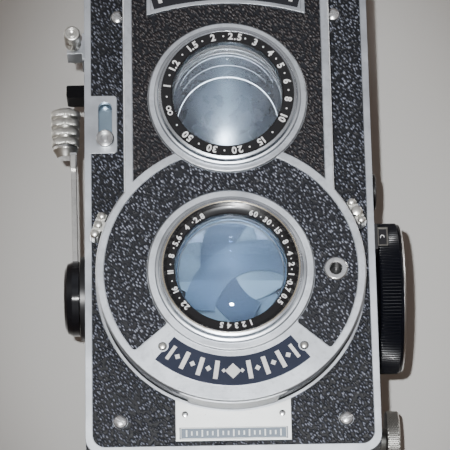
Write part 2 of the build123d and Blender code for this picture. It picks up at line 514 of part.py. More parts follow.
for s in (-1, 1):
    ear = box(min(s * 5.2, s * 6.4), max(s * 5.2, s * 6.4), Y_F + 0.4, Y_F + 3.2, MZ - 1.0, MZ + 1.0)
    hf += ear
hf += cyx(Y_F + 2.2, MZ, 0.5, -6.0, 6.0)
put("hood_front", hf)
put("finder_glass", box(-13.95, 13.95, Y_F - 0.4, Y_F + 0.4, WZ0 + 0.05, WZ1 - 0.05))
ma = tube_y(0, MZ - 17.0, 14.0, 12.55, Y_F + 0.9, Y_F + 3.5)
ma += cyx(Y_F + 2.2, MZ, 0.95, -4.9, 4.9) + box(-4.9, 4.9, Y_F + 1.4, Y_F + 3.0, MZ - 3.6, MZ - 0.4)
ma -= cyx(Y_F + 2.2, MZ, 0.56, -10, 10)
put("magnifier_arm", ma)
put("magnifier_lens", lens(0, MZ - 17.0, 12.5, Y_F + 1.5, Y_F + 2.5, 0.5, 0.8))

# ---- write the parts ----
for name, shape in nodes.items():
    sol = [s.moved(Location((0, OY, OZ))) for s in shape.solids()]
    out = sol[0] if len(sol) == 1 else Compound(children=sol)
    export_step(out, "parts/%s.step" % name)
print(len(nodes), "nodes")
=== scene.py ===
import bpy
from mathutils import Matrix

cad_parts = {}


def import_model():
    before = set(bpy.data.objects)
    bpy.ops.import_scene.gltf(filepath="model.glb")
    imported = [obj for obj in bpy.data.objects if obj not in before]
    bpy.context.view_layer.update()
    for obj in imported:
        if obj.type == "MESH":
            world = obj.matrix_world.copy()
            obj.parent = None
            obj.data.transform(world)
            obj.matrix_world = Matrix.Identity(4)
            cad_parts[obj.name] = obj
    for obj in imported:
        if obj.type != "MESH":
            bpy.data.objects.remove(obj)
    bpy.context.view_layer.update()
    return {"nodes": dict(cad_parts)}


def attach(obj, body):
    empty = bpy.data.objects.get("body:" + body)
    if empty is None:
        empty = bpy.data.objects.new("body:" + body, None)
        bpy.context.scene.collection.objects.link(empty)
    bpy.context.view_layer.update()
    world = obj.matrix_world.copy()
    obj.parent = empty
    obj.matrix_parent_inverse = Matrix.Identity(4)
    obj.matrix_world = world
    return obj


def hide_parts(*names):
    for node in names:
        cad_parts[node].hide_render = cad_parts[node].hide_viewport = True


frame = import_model()

import bpy, bmesh, math
from math import pi, sin, cos, radians, sqrt, atan2
from mathutils import Vector, Matrix

MM = 0.001
OY, OZ = -43.0, 3.0
ZV, ZT = 101.0, 49.8


def P(x, y, z):
    """Layout millimetres (x from the centre line, y from the front plate, z from its bottom edge) to metres."""
    return Vector((x * MM, (y + OY) * MM, (z + OZ) * MM))


# ------------------------------------------------------------------ camera
AZ, EL, ROLL = radians(-0.825), radians(-17.843), radians(-1.14)
DIST, FPX = 782.46, 2762.0
back = Vector((sin(AZ) * cos(EL), -cos(AZ) * cos(EL), sin(EL)))
fwd = -back
rt0 = fwd.cross(Vector((0, 0, 1))).normalized()
up0 = rt0.cross(fwd)
rt = cos(ROLL) * rt0 + sin(ROLL) * up0
up = -sin(ROLL) * rt0 + cos(ROLL) * up0
cam_d = bpy.data.cameras.new("cam")
cam = bpy.data.objects.new("cam", cam_d)
bpy.context.scene.collection.objects.link(cam)
loc = P(-1.28, 0, 66.13) + back * DIST * MM
m = Matrix.Identity(4)
for i in range(3):
    m[i][0], m[i][1], m[i][2], m[i][3] = rt[i], up[i], back[i], loc[i]
cam.matrix_world = m
cam_d.sensor_width = 36.0
cam_d.lens = FPX / 450 * 36.0
cam_d.clip_start = 0.01
cam_d.clip_end = 20
bpy.context.scene.camera = cam


# ------------------------------------------------------------------ node helpers
class Nt:
    def __init__(self, name):
        self.mat = bpy.data.materials.new(name)
        self.mat.use_nodes = True
        self.t = self.mat.node_tree
        self.t.nodes.clear()
        self.out = self.t.nodes.new("ShaderNodeOutputMaterial")
        self.b = self.t.nodes.new("ShaderNodeBsdfPrincipled")
        self.t.links.new(self.b.outputs[0], self.out.inputs[0])
        tc = self.t.nodes.new("ShaderNodeTexCoord")
        mp = self.n("ShaderNodeMapping")
        mp.inputs["Scale"].default_value = (1000, 1000, 1000)
        self.t.links.new(tc.outputs["Object"], mp.inputs[0])
        self.co = mp.outputs[0]

    def n(self, kind, **kw):
        nd = self.t.nodes.new(kind)
        for k, v in kw.items():
            setattr(nd, k, v)
        return nd

    def link(self, a, b):
        self.t.links.new(a, b)

    def val(self, sock, v):
        if hasattr(v, "node"):
            self.link(v, sock)
        else:
            sock.default_value = v

    def math(self, op, a, b=0.0, c=None, clamp=False):
        nd = self.n("ShaderNodeMath", operation=op, use_clamp=clamp)
        self.val(nd.inputs[0], a)
        self.val(nd.inputs[1], b)
        if c is not None:
            self.val(nd.inputs[2], c)
        return nd.outputs[0]

    def noise(self, scale, detail=2.0, rough=0.5, co=None, dist=0.0):
        nd = self.n("ShaderNodeTexNoise")
        nd.inputs["Scale"].default_value = scale
        nd.inputs["Detail"].default_value = detail
        nd.inputs["Roughness"].default_value = rough
        nd.inputs["Distortion"].default_value = dist
        self.link(co or self.co, nd.inputs["Vector"])
        return nd

    def mapped(self, scale=(1, 1, 1), rot=(0, 0, 0), loc=(0, 0, 0), co=None):
        mp = self.n("ShaderNodeMapping")
        mp.inputs["Scale"].default_value = scale
        mp.inputs["Rotation"].default_value = rot
        mp.inputs["Location"].default_value = loc
        self.link(co or self.co, mp.inputs[0])
        return mp.outputs[0]

    def voro(self, scale, feature="F1", co=None, rnd=1.0, smooth=None):
        nd = self.n("ShaderNodeTexVoronoi", feature=feature)
        nd.inputs["Scale"].default_value = scale
        nd.inputs["Randomness"].default_value = rnd
        if smooth is not None:
            nd.inputs["Smoothness"].default_value = smooth
        self.link(co or self.co, nd.inputs["Vector"])
        return nd

    def ramp(self, fac, stops, interp="LINEAR"):
        nd = self.n("ShaderNodeValToRGB")
        nd.color_ramp.interpolation = interp
        cr = nd.color_ramp
        while len(cr.elements) > 1:
            cr.elements.remove(cr.elements[-1])
        cr.elements[0].position = stops[0][0]
        cr.elements[0].color = col(stops[0][1])
        for p, c in stops[1:]:
            e = cr.elements.new(p)
            e.color = col(c)
        self.link(fac, nd.inputs[0])
        return nd.outputs[0]

    def mix(self, fac, a, b):
        nd = self.n("ShaderNodeMix", data_type="RGBA")
        self.val(nd.inputs[0], fac)
        self.val(nd.inputs[6], col(a) if not hasattr(a, "node") else a)
        self.val(nd.inputs[7], col(b) if not hasattr(b, "node") else b)
        return nd.outputs[2]

    def bump(self, height, strength, dist=0.0001, normal=None):
        nd = self.n("ShaderNodeBump")
        nd.inputs["Strength"].default_value = strength
        nd.inputs["Distance"].default_value = dist
        self.link(height, nd.inputs["Height"])
        if normal is not None:
            self.link(normal, nd.inputs["Normal"])
        return nd.outputs[0]

    def sep(self):
        nd = self.n("ShaderNodeSeparateXYZ")
        self.link(self.co, nd.inputs[0])
        return nd.outputs

    def set(self, **kw):
        names = {"color": "Base Color", "metal": "Metallic", "rough": "Roughness", "ior": "IOR", "coat": "Coat Weight",
                 "coat_rough": "Coat Roughness", "spec": "Specular IOR Level", "trans": "Transmission Weight",
                 "normal": "Normal", "sheen": "Sheen Weight", "aniso": "Anisotropic", "alpha": "Alpha"}
        for k, v in kw.items():
            s = self.b.inputs[names[k]]
            if k == "color" and not hasattr(v, "node"):
                v = col(v)
            self.val(s, v)
        return self


def col(c):
    if isinstance(c, (int, float)):
        return (c, c, c, 1)
    return tuple(c) + (1,) if len(c) == 3 else tuple(c)


def metal(name, base, rough, rvar=0.08, cvar=0.06, streak=0.0, fine=0.02, spots=0.0, bev=0.22):
    """Plated or polished metal with cloudy tone, fine grain, brushed streaks and small worn spots."""
    q = Nt(name)
    cloud = q.noise(0.09, 4, 0.6).outputs[0]
    grain = q.noise(5.0, 2, 0.6).outputs[0]
    dark = tuple(v * (1 - cvar * 2) for v in base)
    c = q.mix(q.ramp(cloud, [(0.3, 0.0), (0.7, 1.0)]), dark, base)
    r = q.math("MULTIPLY_ADD", cloud, rvar * 2, rough - rvar)
    r = q.math("MULTIPLY_ADD", grain, 0.08, r)
    if spots:
        sp = q.noise(1.1, 3, 0.7).outputs[0]
        msk = q.ramp(sp, [(0.66, 0.0), (0.74, 1.0)])
        c = q.mix(q.math("MULTIPLY", msk, spots), c, tuple(v * 0.45 for v in base))
        r = q.math("MULTIPLY_ADD", msk, 0.2 * spots, r)
    h = q.math("MULTIPLY", grain, 1.0)
    bv = q.n("ShaderNodeBevel", samples=4)
    bv.inputs["Radius"].default_value = bev * MM
    nrm = q.bump(h, fine * 10, 0.00001, bv.outputs[0])
    if streak:
        st = q.noise(1.0, 3, 0.6, co=q.mapped((0.12, 1.0, 7.0))).outputs[0]
        nrm = q.bump(st, streak, 0.00003, nrm)
    return q.set(color=c, metal=1.0, rough=r, normal=nrm).mat


def leather(name, crease_shade_c, base_c, top_highlight_c, seed=0.0, cover=0.5, rough=0.34, scale=1.0, tilt=0.70, depth=0.00020, upper_highlight_c=None, low=None):
    """Pebble-grain leather: small slanted pebbles; the creases between them are darkened as painted shade, and the tops
    of random pebbles take a light colour that is partly rubbed wear and partly painted highlight.
    """
    q = Nt(name)
    warp = q.noise(0.9, 2, 0.5)
    add = q.n("ShaderNodeVectorMath", operation="MULTIPLY_ADD")
    q.link(warp.outputs["Color"], add.inputs[0])
    add.inputs[1].default_value = (0.35, 0.35, 0.35)
    turned = q.mapped((1, 1, 1), (0, tilt, 0))
    q.link(q.mapped((1.55, 0.9, 0.80), (0, 0, 0), (seed, seed * 2, 0), co=turned), add.inputs[2])
    co = add.outputs[0]
    v = q.voro(scale, "F1", co, 0.9)
    fine = q.noise(4.5, 3, 0.6).outputs[0]
    dome = q.math("SUBTRACT", 1.0, q.math("MULTIPLY", q.math("POWER", v.outputs["Distance"], 2.0), 2.6), clamp=True)
    hgt = q.math("MULTIPLY_ADD", fine, 0.18, dome)
    big = q.noise(0.06, 3, 0.6).outputs[0]
    cell = q.n("ShaderNodeSeparateColor")
    q.link(v.outputs["Color"], cell.inputs[0])
    rnd = q.ramp(cell.outputs[0], [(max(0.0, 1.0 - cover - 0.40), 0.30), (min(1.0, 1.0 - cover + 0.20), 1.0)])
    # The pebble tops of random cells take the light top colour: partly rubbed wear, partly painted highlight.
    tops = q.ramp(hgt, [(0.66, 0.0), (0.98, 1.0)])
    worn = q.math("MULTIPLY", rnd, tops)
    worn = q.math("MULTIPLY", worn, q.math("MULTIPLY_ADD", big, 0.8, 0.6), clamp=True)
    # Above z 60, outside the 37.7 mm circle round the taking lens, the panel leather takes a dimmer painted highlight
    # colour, another base colour and a quarter less highlight.
    if upper_highlight_c is not None:
        x, y, z = q.sep()
        dz = q.math("SUBTRACT", z, ZT + OZ)
        rr = q.math("ADD", q.math("MULTIPLY", x, x), q.math("MULTIPLY", dz, dz))
        upper = q.math("MULTIPLY", q.math("GREATER_THAN", rr, 37.7 ** 2), q.math("GREATER_THAN", z, 60.0))
        top_highlight_c = q.mix(upper, top_highlight_c, upper_highlight_c)
        base_c = q.mix(upper, base_c, low)
        worn = q.math("MULTIPLY", worn, q.math("MULTIPLY_ADD", upper, -0.25, 1.0))
    # The darker colour down in the creases between pebbles is painted shade.
    base = q.mix(q.ramp(hgt, [(0.10, 0.0), (0.75, 1.0)]), crease_shade_c, base_c)
    c = q.mix(worn, base, top_highlight_c)
    r = q.math("MULTIPLY_ADD", fine, 0.22, rough - 0.06)
    return q.set(color=c, rough=r, normal=q.bump(hgt, 1.0, depth), spec=0.42).mat


def paint(name, base, rough, grain=0.5, coat=0.0, spec=0.5):
    """Lacquer with a slight orange peel and dust."""
    q = Nt(name)
    peel = q.noise(1.6, 2, 0.5).outputs[0]
    cloud = q.noise(0.12, 3, 0.6).outputs[0]
    c = q.mix(cloud, tuple(x * 0.8 for x in base), tuple(x * 1.25 for x in base))
    r = q.math("MULTIPLY_ADD", cloud, 0.10, rough - 0.05)
    return q.set(color=c, rough=r, normal=q.bump(peel, grain * 0.2, 0.00003), coat=coat, coat_rough=0.06, spec=spec).mat


def wrinkle(name, base, rough=0.5):
    """Black crackle lacquer."""
    q = Nt(name)
    a = q.noise(2.2, 4, 0.6, dist=0.4).outputs[0]
    c = q.mix(a, tuple(x * 0.6 for x in base), tuple(x * 1.4 for x in base))
    return q.set(color=c, rough=rough, normal=q.bump(a, 0.7, 0.00008)).mat


def by_mask(name, qa, base_a, rough_a, metal_a, base_b, rough_b, metal_b, maskf, fine=0.15, streak=0.0):
    """Two finishes on one piece, parted by a mask on its own coordinates."""
    q = Nt(name)
    msk = maskf(q)
    cloud = q.noise(0.09, 4, 0.6).outputs[0]
    grain = q.noise(5.0, 2, 0.6).outputs[0]
    ca = q.mix(q.ramp(cloud, [(0.3, 0.0), (0.7, 1.0)]), tuple(v * 0.76 for v in base_a), base_a)
    sp = q.noise(0.55, 4, 0.7).outputs[0]
    ca = q.mix(q.ramp(sp, [(0.50, 0.0), (0.70, 0.65)]), ca, tuple(v * 0.6 for v in base_a))
    c = q.mix(msk, ca, base_b)
    ra = q.math("MULTIPLY_ADD", cloud, 0.14, rough_a - 0.07)
    ra = q.math("MULTIPLY_ADD", grain, 0.07, ra)
    r = q.math("ADD", q.math("MULTIPLY", ra, q.math("SUBTRACT", 1.0, msk)), q.math("MULTIPLY", msk, rough_b))
    mt = q.math("ADD", q.math("MULTIPLY", q.math("SUBTRACT", 1.0, msk), metal_a), q.math("MULTIPLY", msk, metal_b))
    bv = q.n("ShaderNodeBevel", samples=4)
    bv.inputs["Radius"].default_value = 0.25 * MM
    nrm = q.bump(grain, fine, 0.00001, bv.outputs[0])
    if streak:
        st = q.noise(1.0, 3, 0.6, co=q.mapped((0.10, 1.0, 6.0))).outputs[0]
        nrm = q.bump(st, streak, 0.00004, nrm)
    return q.set(color=c, metal=mt, rough=r, normal=nrm).mat


# ------------------------------------------------------------------ materials
SILVER = (0.66, 0.695, 0.745)
M = {}
M["satin"] = metal("satin_chrome", SILVER, 0.34, rvar=0.12, cvar=0.12, spots=0.6, fine=0.04)
M["bright"] = metal("bright_chrome", (0.80, 0.81, 0.82), 0.20, rvar=0.04, fine=0.005)
M["ivory_chrome"] = metal("worn_nickel", (0.84, 0.835, 0.79), 0.28, spots=0.35, fine=0.008)
M["steel"] = metal("bright_steel", (0.60, 0.62, 0.64), 0.28, streak=0.2)
M["brass"] = metal("brass", (0.78, 0.60, 0.33), 0.30)
# Leather colours in order: crease colour (painted shade), base colour, pebble-top colour (rubbed wear and painted
# highlight).
M["leather"] = leather("black_leather", (0.003, 0.004, 0.007), (0.012, 0.014, 0.022), (0.225, 0.25, 0.32), 0.0, 0.44, 0.30, depth=0.00026)
M["leather_low"] = leather("panel_leather", (0.003, 0.004, 0.008), (0.012, 0.014, 0.022), (0.30, 0.33, 0.41), 4.0, 0.42, 0.30, depth=0.00026,
                           upper_highlight_c=(0.085, 0.078, 0.084), low=(0.016, 0.013, 0.014))
M["black"] = paint("black_lacquer", (0.012, 0.012, 0.014), 0.30)
q = Nt("rest_black")
tn = q.n("ShaderNodeNewGeometry").outputs["True Normal"]
M["rest_black"] = q.set(color=(0.004, 0.004, 0.005), rough=0.55, normal=tn, spec=0.06).mat
M["matt"] = wrinkle("matt_black", (0.012, 0.012, 0.013), 0.62)
M["gloss"] = paint("gloss_black", (0.008, 0.008, 0.010), 0.14, 0.3, 0.4)
M["knob"] = paint("knob_black", (0.0045, 0.005, 0.008), 0.24, 0.6, 0.0, 0.13)
M["spool_metal"] = metal("worn_knurl", (0.34, 0.335, 0.315), 0.40, spots=0.3)
M["navy"] = paint("badge_enamel", (0.012, 0.018, 0.042), 0.22, 0.3, 0.2)
M["white"] = paint("white_filling", (0.80, 0.82, 0.84), 0.45, 0.4)
M["blade"] = metal("blade_steel", (0.40, 0.47, 0.52), 0.30, rvar=0.05, streak=0.15)
M["mirror"] = metal("silvered_mirror", (0.90, 0.90, 0.92), 0.04, rvar=0.01, fine=0.0)


def glass(name, tint, rough=0.0, ior=1.52):
    q = Nt(name)
    dust = q.noise(0.8, 4, 0.7).outputs[0]
    r = q.ramp(dust, [(0.55, rough), (0.8, rough + 0.02)])
    return q.set(color=tint, rough=r, trans=1.0, ior=ior).mat


M["glass"] = glass("lens_glass", (0.93, 0.965, 1.0), 0.0, 1.62)
M["glass_blue"] = glass("coated_glass", (0.80, 0.90, 1.0), 0.0, 1.70)
q = Nt("ground_glass")
gr = q.noise(9.0, 2, 0.6).outputs[0]
M["screen"] = q.set(color=(0.88, 0.90, 0.88), rough=q.math("MULTIPLY_ADD", gr, 0.2, 0.35), trans=0.75, normal=q.bump(gr, 0.3, 0.00002)).mat


def panel_mask(q):
    x, y, z = q.sep()
    behind = q.math("GREATER_THAN", y, -8.06 + OY)
    # The skirt behind the front lip is black paint; on its chin (|x| under 12.62, z under 17) the black is eased to 80
    # %, a silver strip darkened as painted dark reflection.
    chin_dark_reflection = q.math("MULTIPLY", q.math("LESS_THAN", q.math("ABSOLUTE", x), 12.62), q.math("LESS_THAN", z, 17.0 + OZ))
    return q.math("MULTIPLY", behind, q.math("MULTIPLY_ADD", chin_dark_reflection, -0.2, 1.0))


def bore_mask(zc, rad, y0, y1=1000.0):
    def f(q):
        x, y, z = q.sep()
        dz = q.math("SUBTRACT", z, zc + OZ)
        r = q.math("SQRT", q.math("ADD", q.math("MULTIPLY", x, x), q.math("MULTIPLY", dz, dz)))
        m1 = q.math("MULTIPLY", q.math("LESS_THAN", r, rad), q.math("GREATER_THAN", y, y0 + OY))
        return q.math("MULTIPLY", m1, q.math("LESS_THAN", y, y1 + OY))
    return f


M["panel"] = by_mask("panel_casting", None, SILVER, 0.36, 1.0, (0.014, 0.014, 0.016), 0.45, 0.0, panel_mask, 0.2, 0.25)
M["vbarrel"] = by_mask("barrel_view", None, SILVER, 0.22, 1.0, (0.012, 0.012, 0.013), 0.5, 0.0, bore_mask(ZV, 17.0, -12.0))
M["tbarrel"] = by_mask("barrel_take", None, SILVER, 0.22, 1.0, (0.012, 0.012, 0.013), 0.5, 0.0, bore_mask(ZT, 17.0, -12.0, -0.6))


def lid_mask(q):
    x, y, z = q.sep()
    return q.math("LESS_THAN", z, -10.0)


NODE_MAT = {
    "body_shell": "matt", "front_plate": "satin", "body_leathers": "leather", "plate_screws": "bright",
    "lower_plate": "satin", "base_plate": "satin", "tripod_socket": "bright", "film_gate": "matt", "mirror": "mirror",
    "ground_glass": "screen", "hood_base": "satin", "side_fittings": "satin", "crank_rest": "rest_black",
    "release_guide": "satin", "door_pin": "steel", "lens_panel": "panel", "view_barrel": "vbarrel",
    "view_name_ring": "gloss", "view_front_glass": "glass", "shutter_housing": "tbarrel", "take_name_ring": "gloss",
    "take_front_glass": "glass_blue", "rear_lenses": "glass", "badge": "navy", "nameplate": "satin",
    "cable_socket": "bright", "focus_rack": "brass", "aperture_lever": "ivory_chrome", "speed_lever": "ivory_chrome",
    "focus_shaft": "steel", "focus_knob": "knob", "crank_arm": "ivory_chrome", "crank_gear": "brass",
    "crank_fork": "bright", "crank_grip": "bright", "idler_gear": "brass", "take_up_spool": "black",
    "spool_gear": "brass", "spool_knob": "bright", "release_button": "bright", "slider_button": "bright",
    "upper_roller": "steel", "lower_roller": "steel", "back_door": "black", "door_leather": "leather",
    "pressure_plate": "matt", "door_latch": "bright", "hood_front": "black", "finder_glass": "glass",
    "magnifier_arm": "bright", "magnifier_lens": "glass", "hood_rear": "black", "hood_left": "black",
    "hood_right": "black", "panel_leathers": "leather_low",
}
for i in range(1, 6):
    NODE_MAT["shutter_blade_%d" % i] = "blade"


def smooth(o, ang=0.6):
    me = o.data
    bm = bmesh.new()
    bm.from_mesh(me)
    for f in bm.faces:
        f.smooth = True
    for e in bm.edges:
        e.smooth = not (len(e.link_faces) == 2 and e.calc_face_angle(0.0) > ang)
    bm.to_mesh(me)
    bm.free()


for nm, o in frame["nodes"].items():
    mt = M[NODE_MAT.get(nm, "satin")]
    o.data.materials.clear()
    o.data.materials.append(mt)


# ------------------------------------------------------------------ mesh helpers
def obj(name, verts, faces, mat, body, ang=0.6, bevel=0.0, mats=None, replaces=None, seg=2):
    me = bpy.data.meshes.new(name)
    me.from_pydata([P(*v) for v in verts], [], faces)
    me.validate()
    bm = bmesh.new()
    bm.from_mesh(me)
    bmesh.ops.recalc_face_normals(bm, faces=bm.faces)
    bm.to_mesh(me)
    bm.free()
    me.materials.append(M[mat])
    o = bpy.data.objects.new(name, me)
    bpy.context.scene.collection.objects.link(o)
    if bevel:
        b = o.modifiers.new("bevel", "BEVEL")
        b.width = bevel * MM
        b.segments = seg
        b.limit_method = "ANGLE"
        b.angle_limit = radians(35)
    smooth(o, ang)
    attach(o, body)
    if replaces:
        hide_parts(*([replaces] if isinstance(replaces, str) else replaces))
    return o


def lathe(name, mat, body, c, axis, prof, seg=96, radial=None, **kw):
    """Turned piece. prof is a list of (radius, position along the axis); radial(i, k, theta, r) may change r."""
    verts, rings = [], []
    for k, (r, a) in enumerate(prof):
        ring = []
        if r <= 1e-6:
            ring = [len(verts)]
            verts.append((r, 0, a))
        else:
            for i in range(seg):
                t = 2 * pi * i / seg
                rr = radial(i, k, t, r) if radial else r
                ring.append(len(verts))
                verts.append((rr, t, a))
        rings.append(ring)
    out = []
    for r, t, a in verts:
        if axis == "Y":
            out.append((c[0] + r * cos(t), a, c[1] + r * sin(t)))
        elif axis == "X":
            out.append((a, c[0] + r * cos(t), c[1] + r * sin(t)))
        else:
            out.append((c[0] + r * cos(t), c[1] + r * sin(t), a))
    faces = []
    n = len(rings)
    closed = prof[0] == prof[-1]
    for k in range(n - 1):
        A, B = rings[k], rings[k + 1]
        if len(A) == 1 and len(B) == 1:
            continue
        for i in range(seg):
            j = (i + 1) % seg
            if len(A) == 1:
                faces.append((A[0], B[i], B[j]))
            elif len(B) == 1:
                faces.append((A[i], B[0], A[j]))
            else:
                faces.append((A[i], B[i], B[j], A[j]))
    if not closed:
        for ring in (rings[0], rings[-1]):
            if len(ring) > 1 and (prof[0][0] > 1e-6 or ring is rings[-1]):
                pass
    o = obj(name, out, faces, mat, body, **kw)
    bm = bmesh.new()
    bm.from_mesh(o.data)
    bmesh.ops.remove_doubles(bm, verts=bm.verts, dist=1e-7)
    hol = [e for e in bm.edges if len(e.link_faces) == 1]
    if hol:
        bmesh.ops.holes_fill(bm, edges=hol, sides=0)
    bmesh.ops.recalc_face_normals(bm, faces=bm.faces)
    bm.to_mesh(o.data)
    bm.free()
    smooth(o, kw.get("ang", 0.6))
    return o


def plate_y(name, mat, body, pts, y0, y1, **kw):
    """Flat piece facing -Y with an outline in x and z."""
    n = len(pts)
    v = [(x, y0, z) for x, z in pts] + [(x, y1, z) for x, z in pts]
    f = [tuple(range(n)), tuple(range(2 * n - 1, n - 1, -1))] + [(i, (i + 1) % n, n + (i + 1) % n, n + i) for i in range(n)]
    return obj(name, v, f, mat, body, **kw)


def join(objs, name):
    """Joins pieces made in this script into one."""
    a = objs[0]
    bm = bmesh.new()
    for o in objs:
        tmp = o.data.copy()
        idx = 0
        bm.from_mesh(tmp)
        bpy.data.meshes.remove(tmp)
    bm.to_mesh(a.data)
    bm.free()
    for o in objs[1:]:
        bpy.data.objects.remove(o)
    a.name = name
    return a


# ------------------------------------------------------------------ stage and lights
q = Nt("table")
w = q.noise(0.006, 3, 0.6).outputs[0]
fn = q.noise(0.9, 3, 0.6).outputs[0]
c = q.mix(w, (0.60, 0.605, 0.59), (0.66, 0.665, 0.65))
q.set(color=c, rough=0.55, normal=q.bump(fn, 0.05, 0.0001))
geo = q.n("ShaderNodeNewGeometry")
tr = q.n("ShaderNodeBsdfTransparent")
mx = q.n("ShaderNodeMixShader")
q.link(geo.outputs["Backfacing"], mx.inputs[0])
q.link(q.b.outputs[0], mx.inputs[1])
q.link(tr.outputs[0], mx.inputs[2])
q.link(mx.outputs[0], q.out.inputs[0])
M["table"] = q.mat


def stage_plane(name, pts):
    me = bpy.data.meshes.new(name)
    me.from_pydata(pts, [], [(0, 1, 2, 3)])
    me.materials.append(M["table"])
    o = bpy.data.objects.new(name, me)
    bpy.context.scene.collection.objects.link(o)
    return o


S = 1.6
floor = stage_plane("floor", [(-S, -S, 0), (S, -S, 0), (S, S, 0), (-S, S, 0)])
floor.visible_shadow = False
floor.visible_glossy = False
floor.visible_diffuse = False
YB = 0.0462
drop = stage_plane("backdrop", [(-S, YB, -S), (S, YB, -S), (S, YB, S), (-S, YB, S)])
drop.visible_shadow = False


def area(name, loc, target, size, power, color=(1, 1, 1), size_y=None):
    d = bpy.data.lights.new(name, "AREA")
    d.energy = power
    d.color = color
    d.size = size
    if size_y:
        d.shape = "RECTANGLE"
        d.size_y = size_y
    o = bpy.data.objects.new(name, d)
    bpy.context.scene.collection.objects.link(o)
    o.location = loc
    o.rotation_euler = (Vector(target) - Vector(loc)).to_track_quat("-Z", "Y").to_euler()
    return o


def spot(name, loc, target, power, angle, blend, radius, color):
    d = bpy.data.lights.new(name, "SPOT")
    d.energy = power
    d.color = color
    d.spot_size = radians(angle)
    d.spot_blend = blend
    d.shadow_soft_size = radius
    o = bpy.data.objects.new(name, d)
    bpy.context.scene.collection.objects.link(o)
    o.location = loc
    o.rotation_euler = (Vector(target) - Vector(loc)).to_track_quat("-Z", "Y").to_euler()
    return o


FL = loc + rt * -0.026 + up * 0.024
spot("flash", FL, P(10, 0, 52), 31.0, 18.5, 1.0, 0.005, (1.0, 1.0, 1.0))
spot("flash_high", FL, P(0, 20, 205), 10.0, 15, 1.0, 0.02, (1.0, 1.0, 1.0))
gl = area("flash_glare", FL, (0, -0.04, 0.08), 0.070, 24.0, (0.96, 0.98, 1.0))
gl.data.shape = "DISK"
gl.visible_diffuse = False
g2 = area("glare_2", loc + Vector((0.02, 0.12, 0.17)), (0, -0.04, 0.08), 0.022, 0.7, (0.93, 0.97, 1.0))
g2.data.shape = "DISK"
g2.visible_diffuse = False
area("side_fill", (1.3, 0.3, 0.9), (0, 0, 0.08), 0.7, 20, (1.0, 0.97, 0.93))
area("back_fill", (-0.5, 1.4, 0.8), (0, 0, 0.08), 0.8, 26, (1.0, 0.98, 0.95))
area("left_fill", (-1.4, 0.4, 0.6), (0, 0, 0.08), 0.7, 18, (1.0, 0.98, 0.95))
wd = bpy.data.worlds.new("world")
bpy.context.scene.world = wd
wd.use_nodes = True
wt = wd.node_tree
bg = wt.nodes["Background"]
wco = wt.nodes.new("ShaderNodeTexCoord").outputs["Generated"]
acc = None
for dv, pw, cl in (((0.0, -0.72, 0.69), 10.0, (0.34, 0.37, 0.42)), ((-0.70, -0.66, 0.25), 14.0, (0.42, 0.43, 0.44)),
                   ((0.65, -0.72, 0.10), 14.0, (0.34, 0.36, 0.40)), ((0.0, -0.80, -0.60), 10.0, (0.50, 0.52, 0.54)),
                   ((0.0, -0.985, 0.15), 60.0, (0.48, 0.51, 0.56))):
    dp = wt.nodes.new("ShaderNodeVectorMath")
    dp.operation = "DOT_PRODUCT"
    wt.links.new(wco, dp.inputs[0])
    dp.inputs[1].default_value = Vector(dv).normalized()
    cpos = wt.nodes.new("ShaderNodeMath")
    cpos.operation = "MAXIMUM"
    wt.links.new(dp.outputs["Value"], cpos.inputs[0])
    cpos.inputs[1].default_value = 0.0
    pwn = wt.nodes.new("ShaderNodeMath")
    pwn.operation = "POWER"
    wt.links.new(cpos.outputs[0], pwn.inputs[0])
    pwn.inputs[1].default_value = pw
    sc = wt.nodes.new("ShaderNodeVectorMath")
    sc.operation = "SCALE"
    sc.inputs[0].default_value = cl
    wt.links.new(pwn.outputs[0], sc.inputs["Scale"])
    if acc is None:
        acc = sc.outputs[0]
    else:
        ad = wt.nodes.new("ShaderNodeVectorMath")
        wt.links.new(acc, ad.inputs[0])
        wt.links.new(sc.outputs[0], ad.inputs[1])
        acc = ad.outputs[0]
ad = wt.nodes.new("ShaderNodeVectorMath")
wt.links.new(acc, ad.inputs[0])
ad.inputs[1].default_value = (0.17, 0.145, 0.125)
wt.links.new(ad.outputs[0], bg.inputs[0])
bg.inputs[1].default_value = 1.0
warm = wt.nodes.new("ShaderNodeBackground")
warm.inputs[0].default_value = (0.125, 0.078, 0.050, 1)
lp = wt.nodes.new("ShaderNodeLightPath")
mxw = wt.nodes.new("ShaderNodeMixShader")
wt.links.new(lp.outputs["Is Diffuse Ray"], mxw.inputs[0])
wt.links.new(bg.outputs[0], mxw.inputs[1])
wt.links.new(warm.outputs[0], mxw.inputs[2])
wt.links.new(mxw.outputs[0], wt.nodes["World Output"].inputs[0])

# ------------------------------------------------------------------ more materials
def crank_mask(q):
    x, y, z = q.sep()
    dy = q.math("SUBTRACT", y, 24.0 + OY)
    dz = q.math("SUBTRACT", z, 52.0 + OZ)
    r = q.math("SQRT", q.math("ADD", q.math("MULTIPLY", dy, dy), q.math("MULTIPLY", dz, dz)))
    return q.math("LESS_THAN", r, 10.95)


M["crank"] = by_mask("crank_two_tone", None, (0.78, 0.77, 0.74), 0.26, 1.0, (0.004, 0.0045, 0.007), 0.10, 0.0, crank_mask)


def fit_mask(q):
    x, y, z = q.sep()
    left = q.math("LESS_THAN", x, -30.0)
    idx = q.math("MULTIPLY", q.math("GREATER_THAN", x, 40.5), q.math("GREATER_THAN", z, 58.0 + OZ))
    dy = q.math("SUBTRACT", y, 20.0 + OY)
    dz = q.math("SUBTRACT", z, 81.9 + OZ)
    rr = q.math("SQRT", q.math("ADD", q.math("MULTIPLY", dy, dy), q.math("MULTIPLY", dz, dz)))
    cap = q.math("MULTIPLY", q.math("LESS_THAN", rr, 5.6), q.math("GREATER_THAN", x, 41.02))
    idx = q.math("MULTIPLY", idx, q.math("GREATER_THAN", rr, 6.0))
    return q.math("MAXIMUM", q.math("MAXIMUM", left, idx), cap)


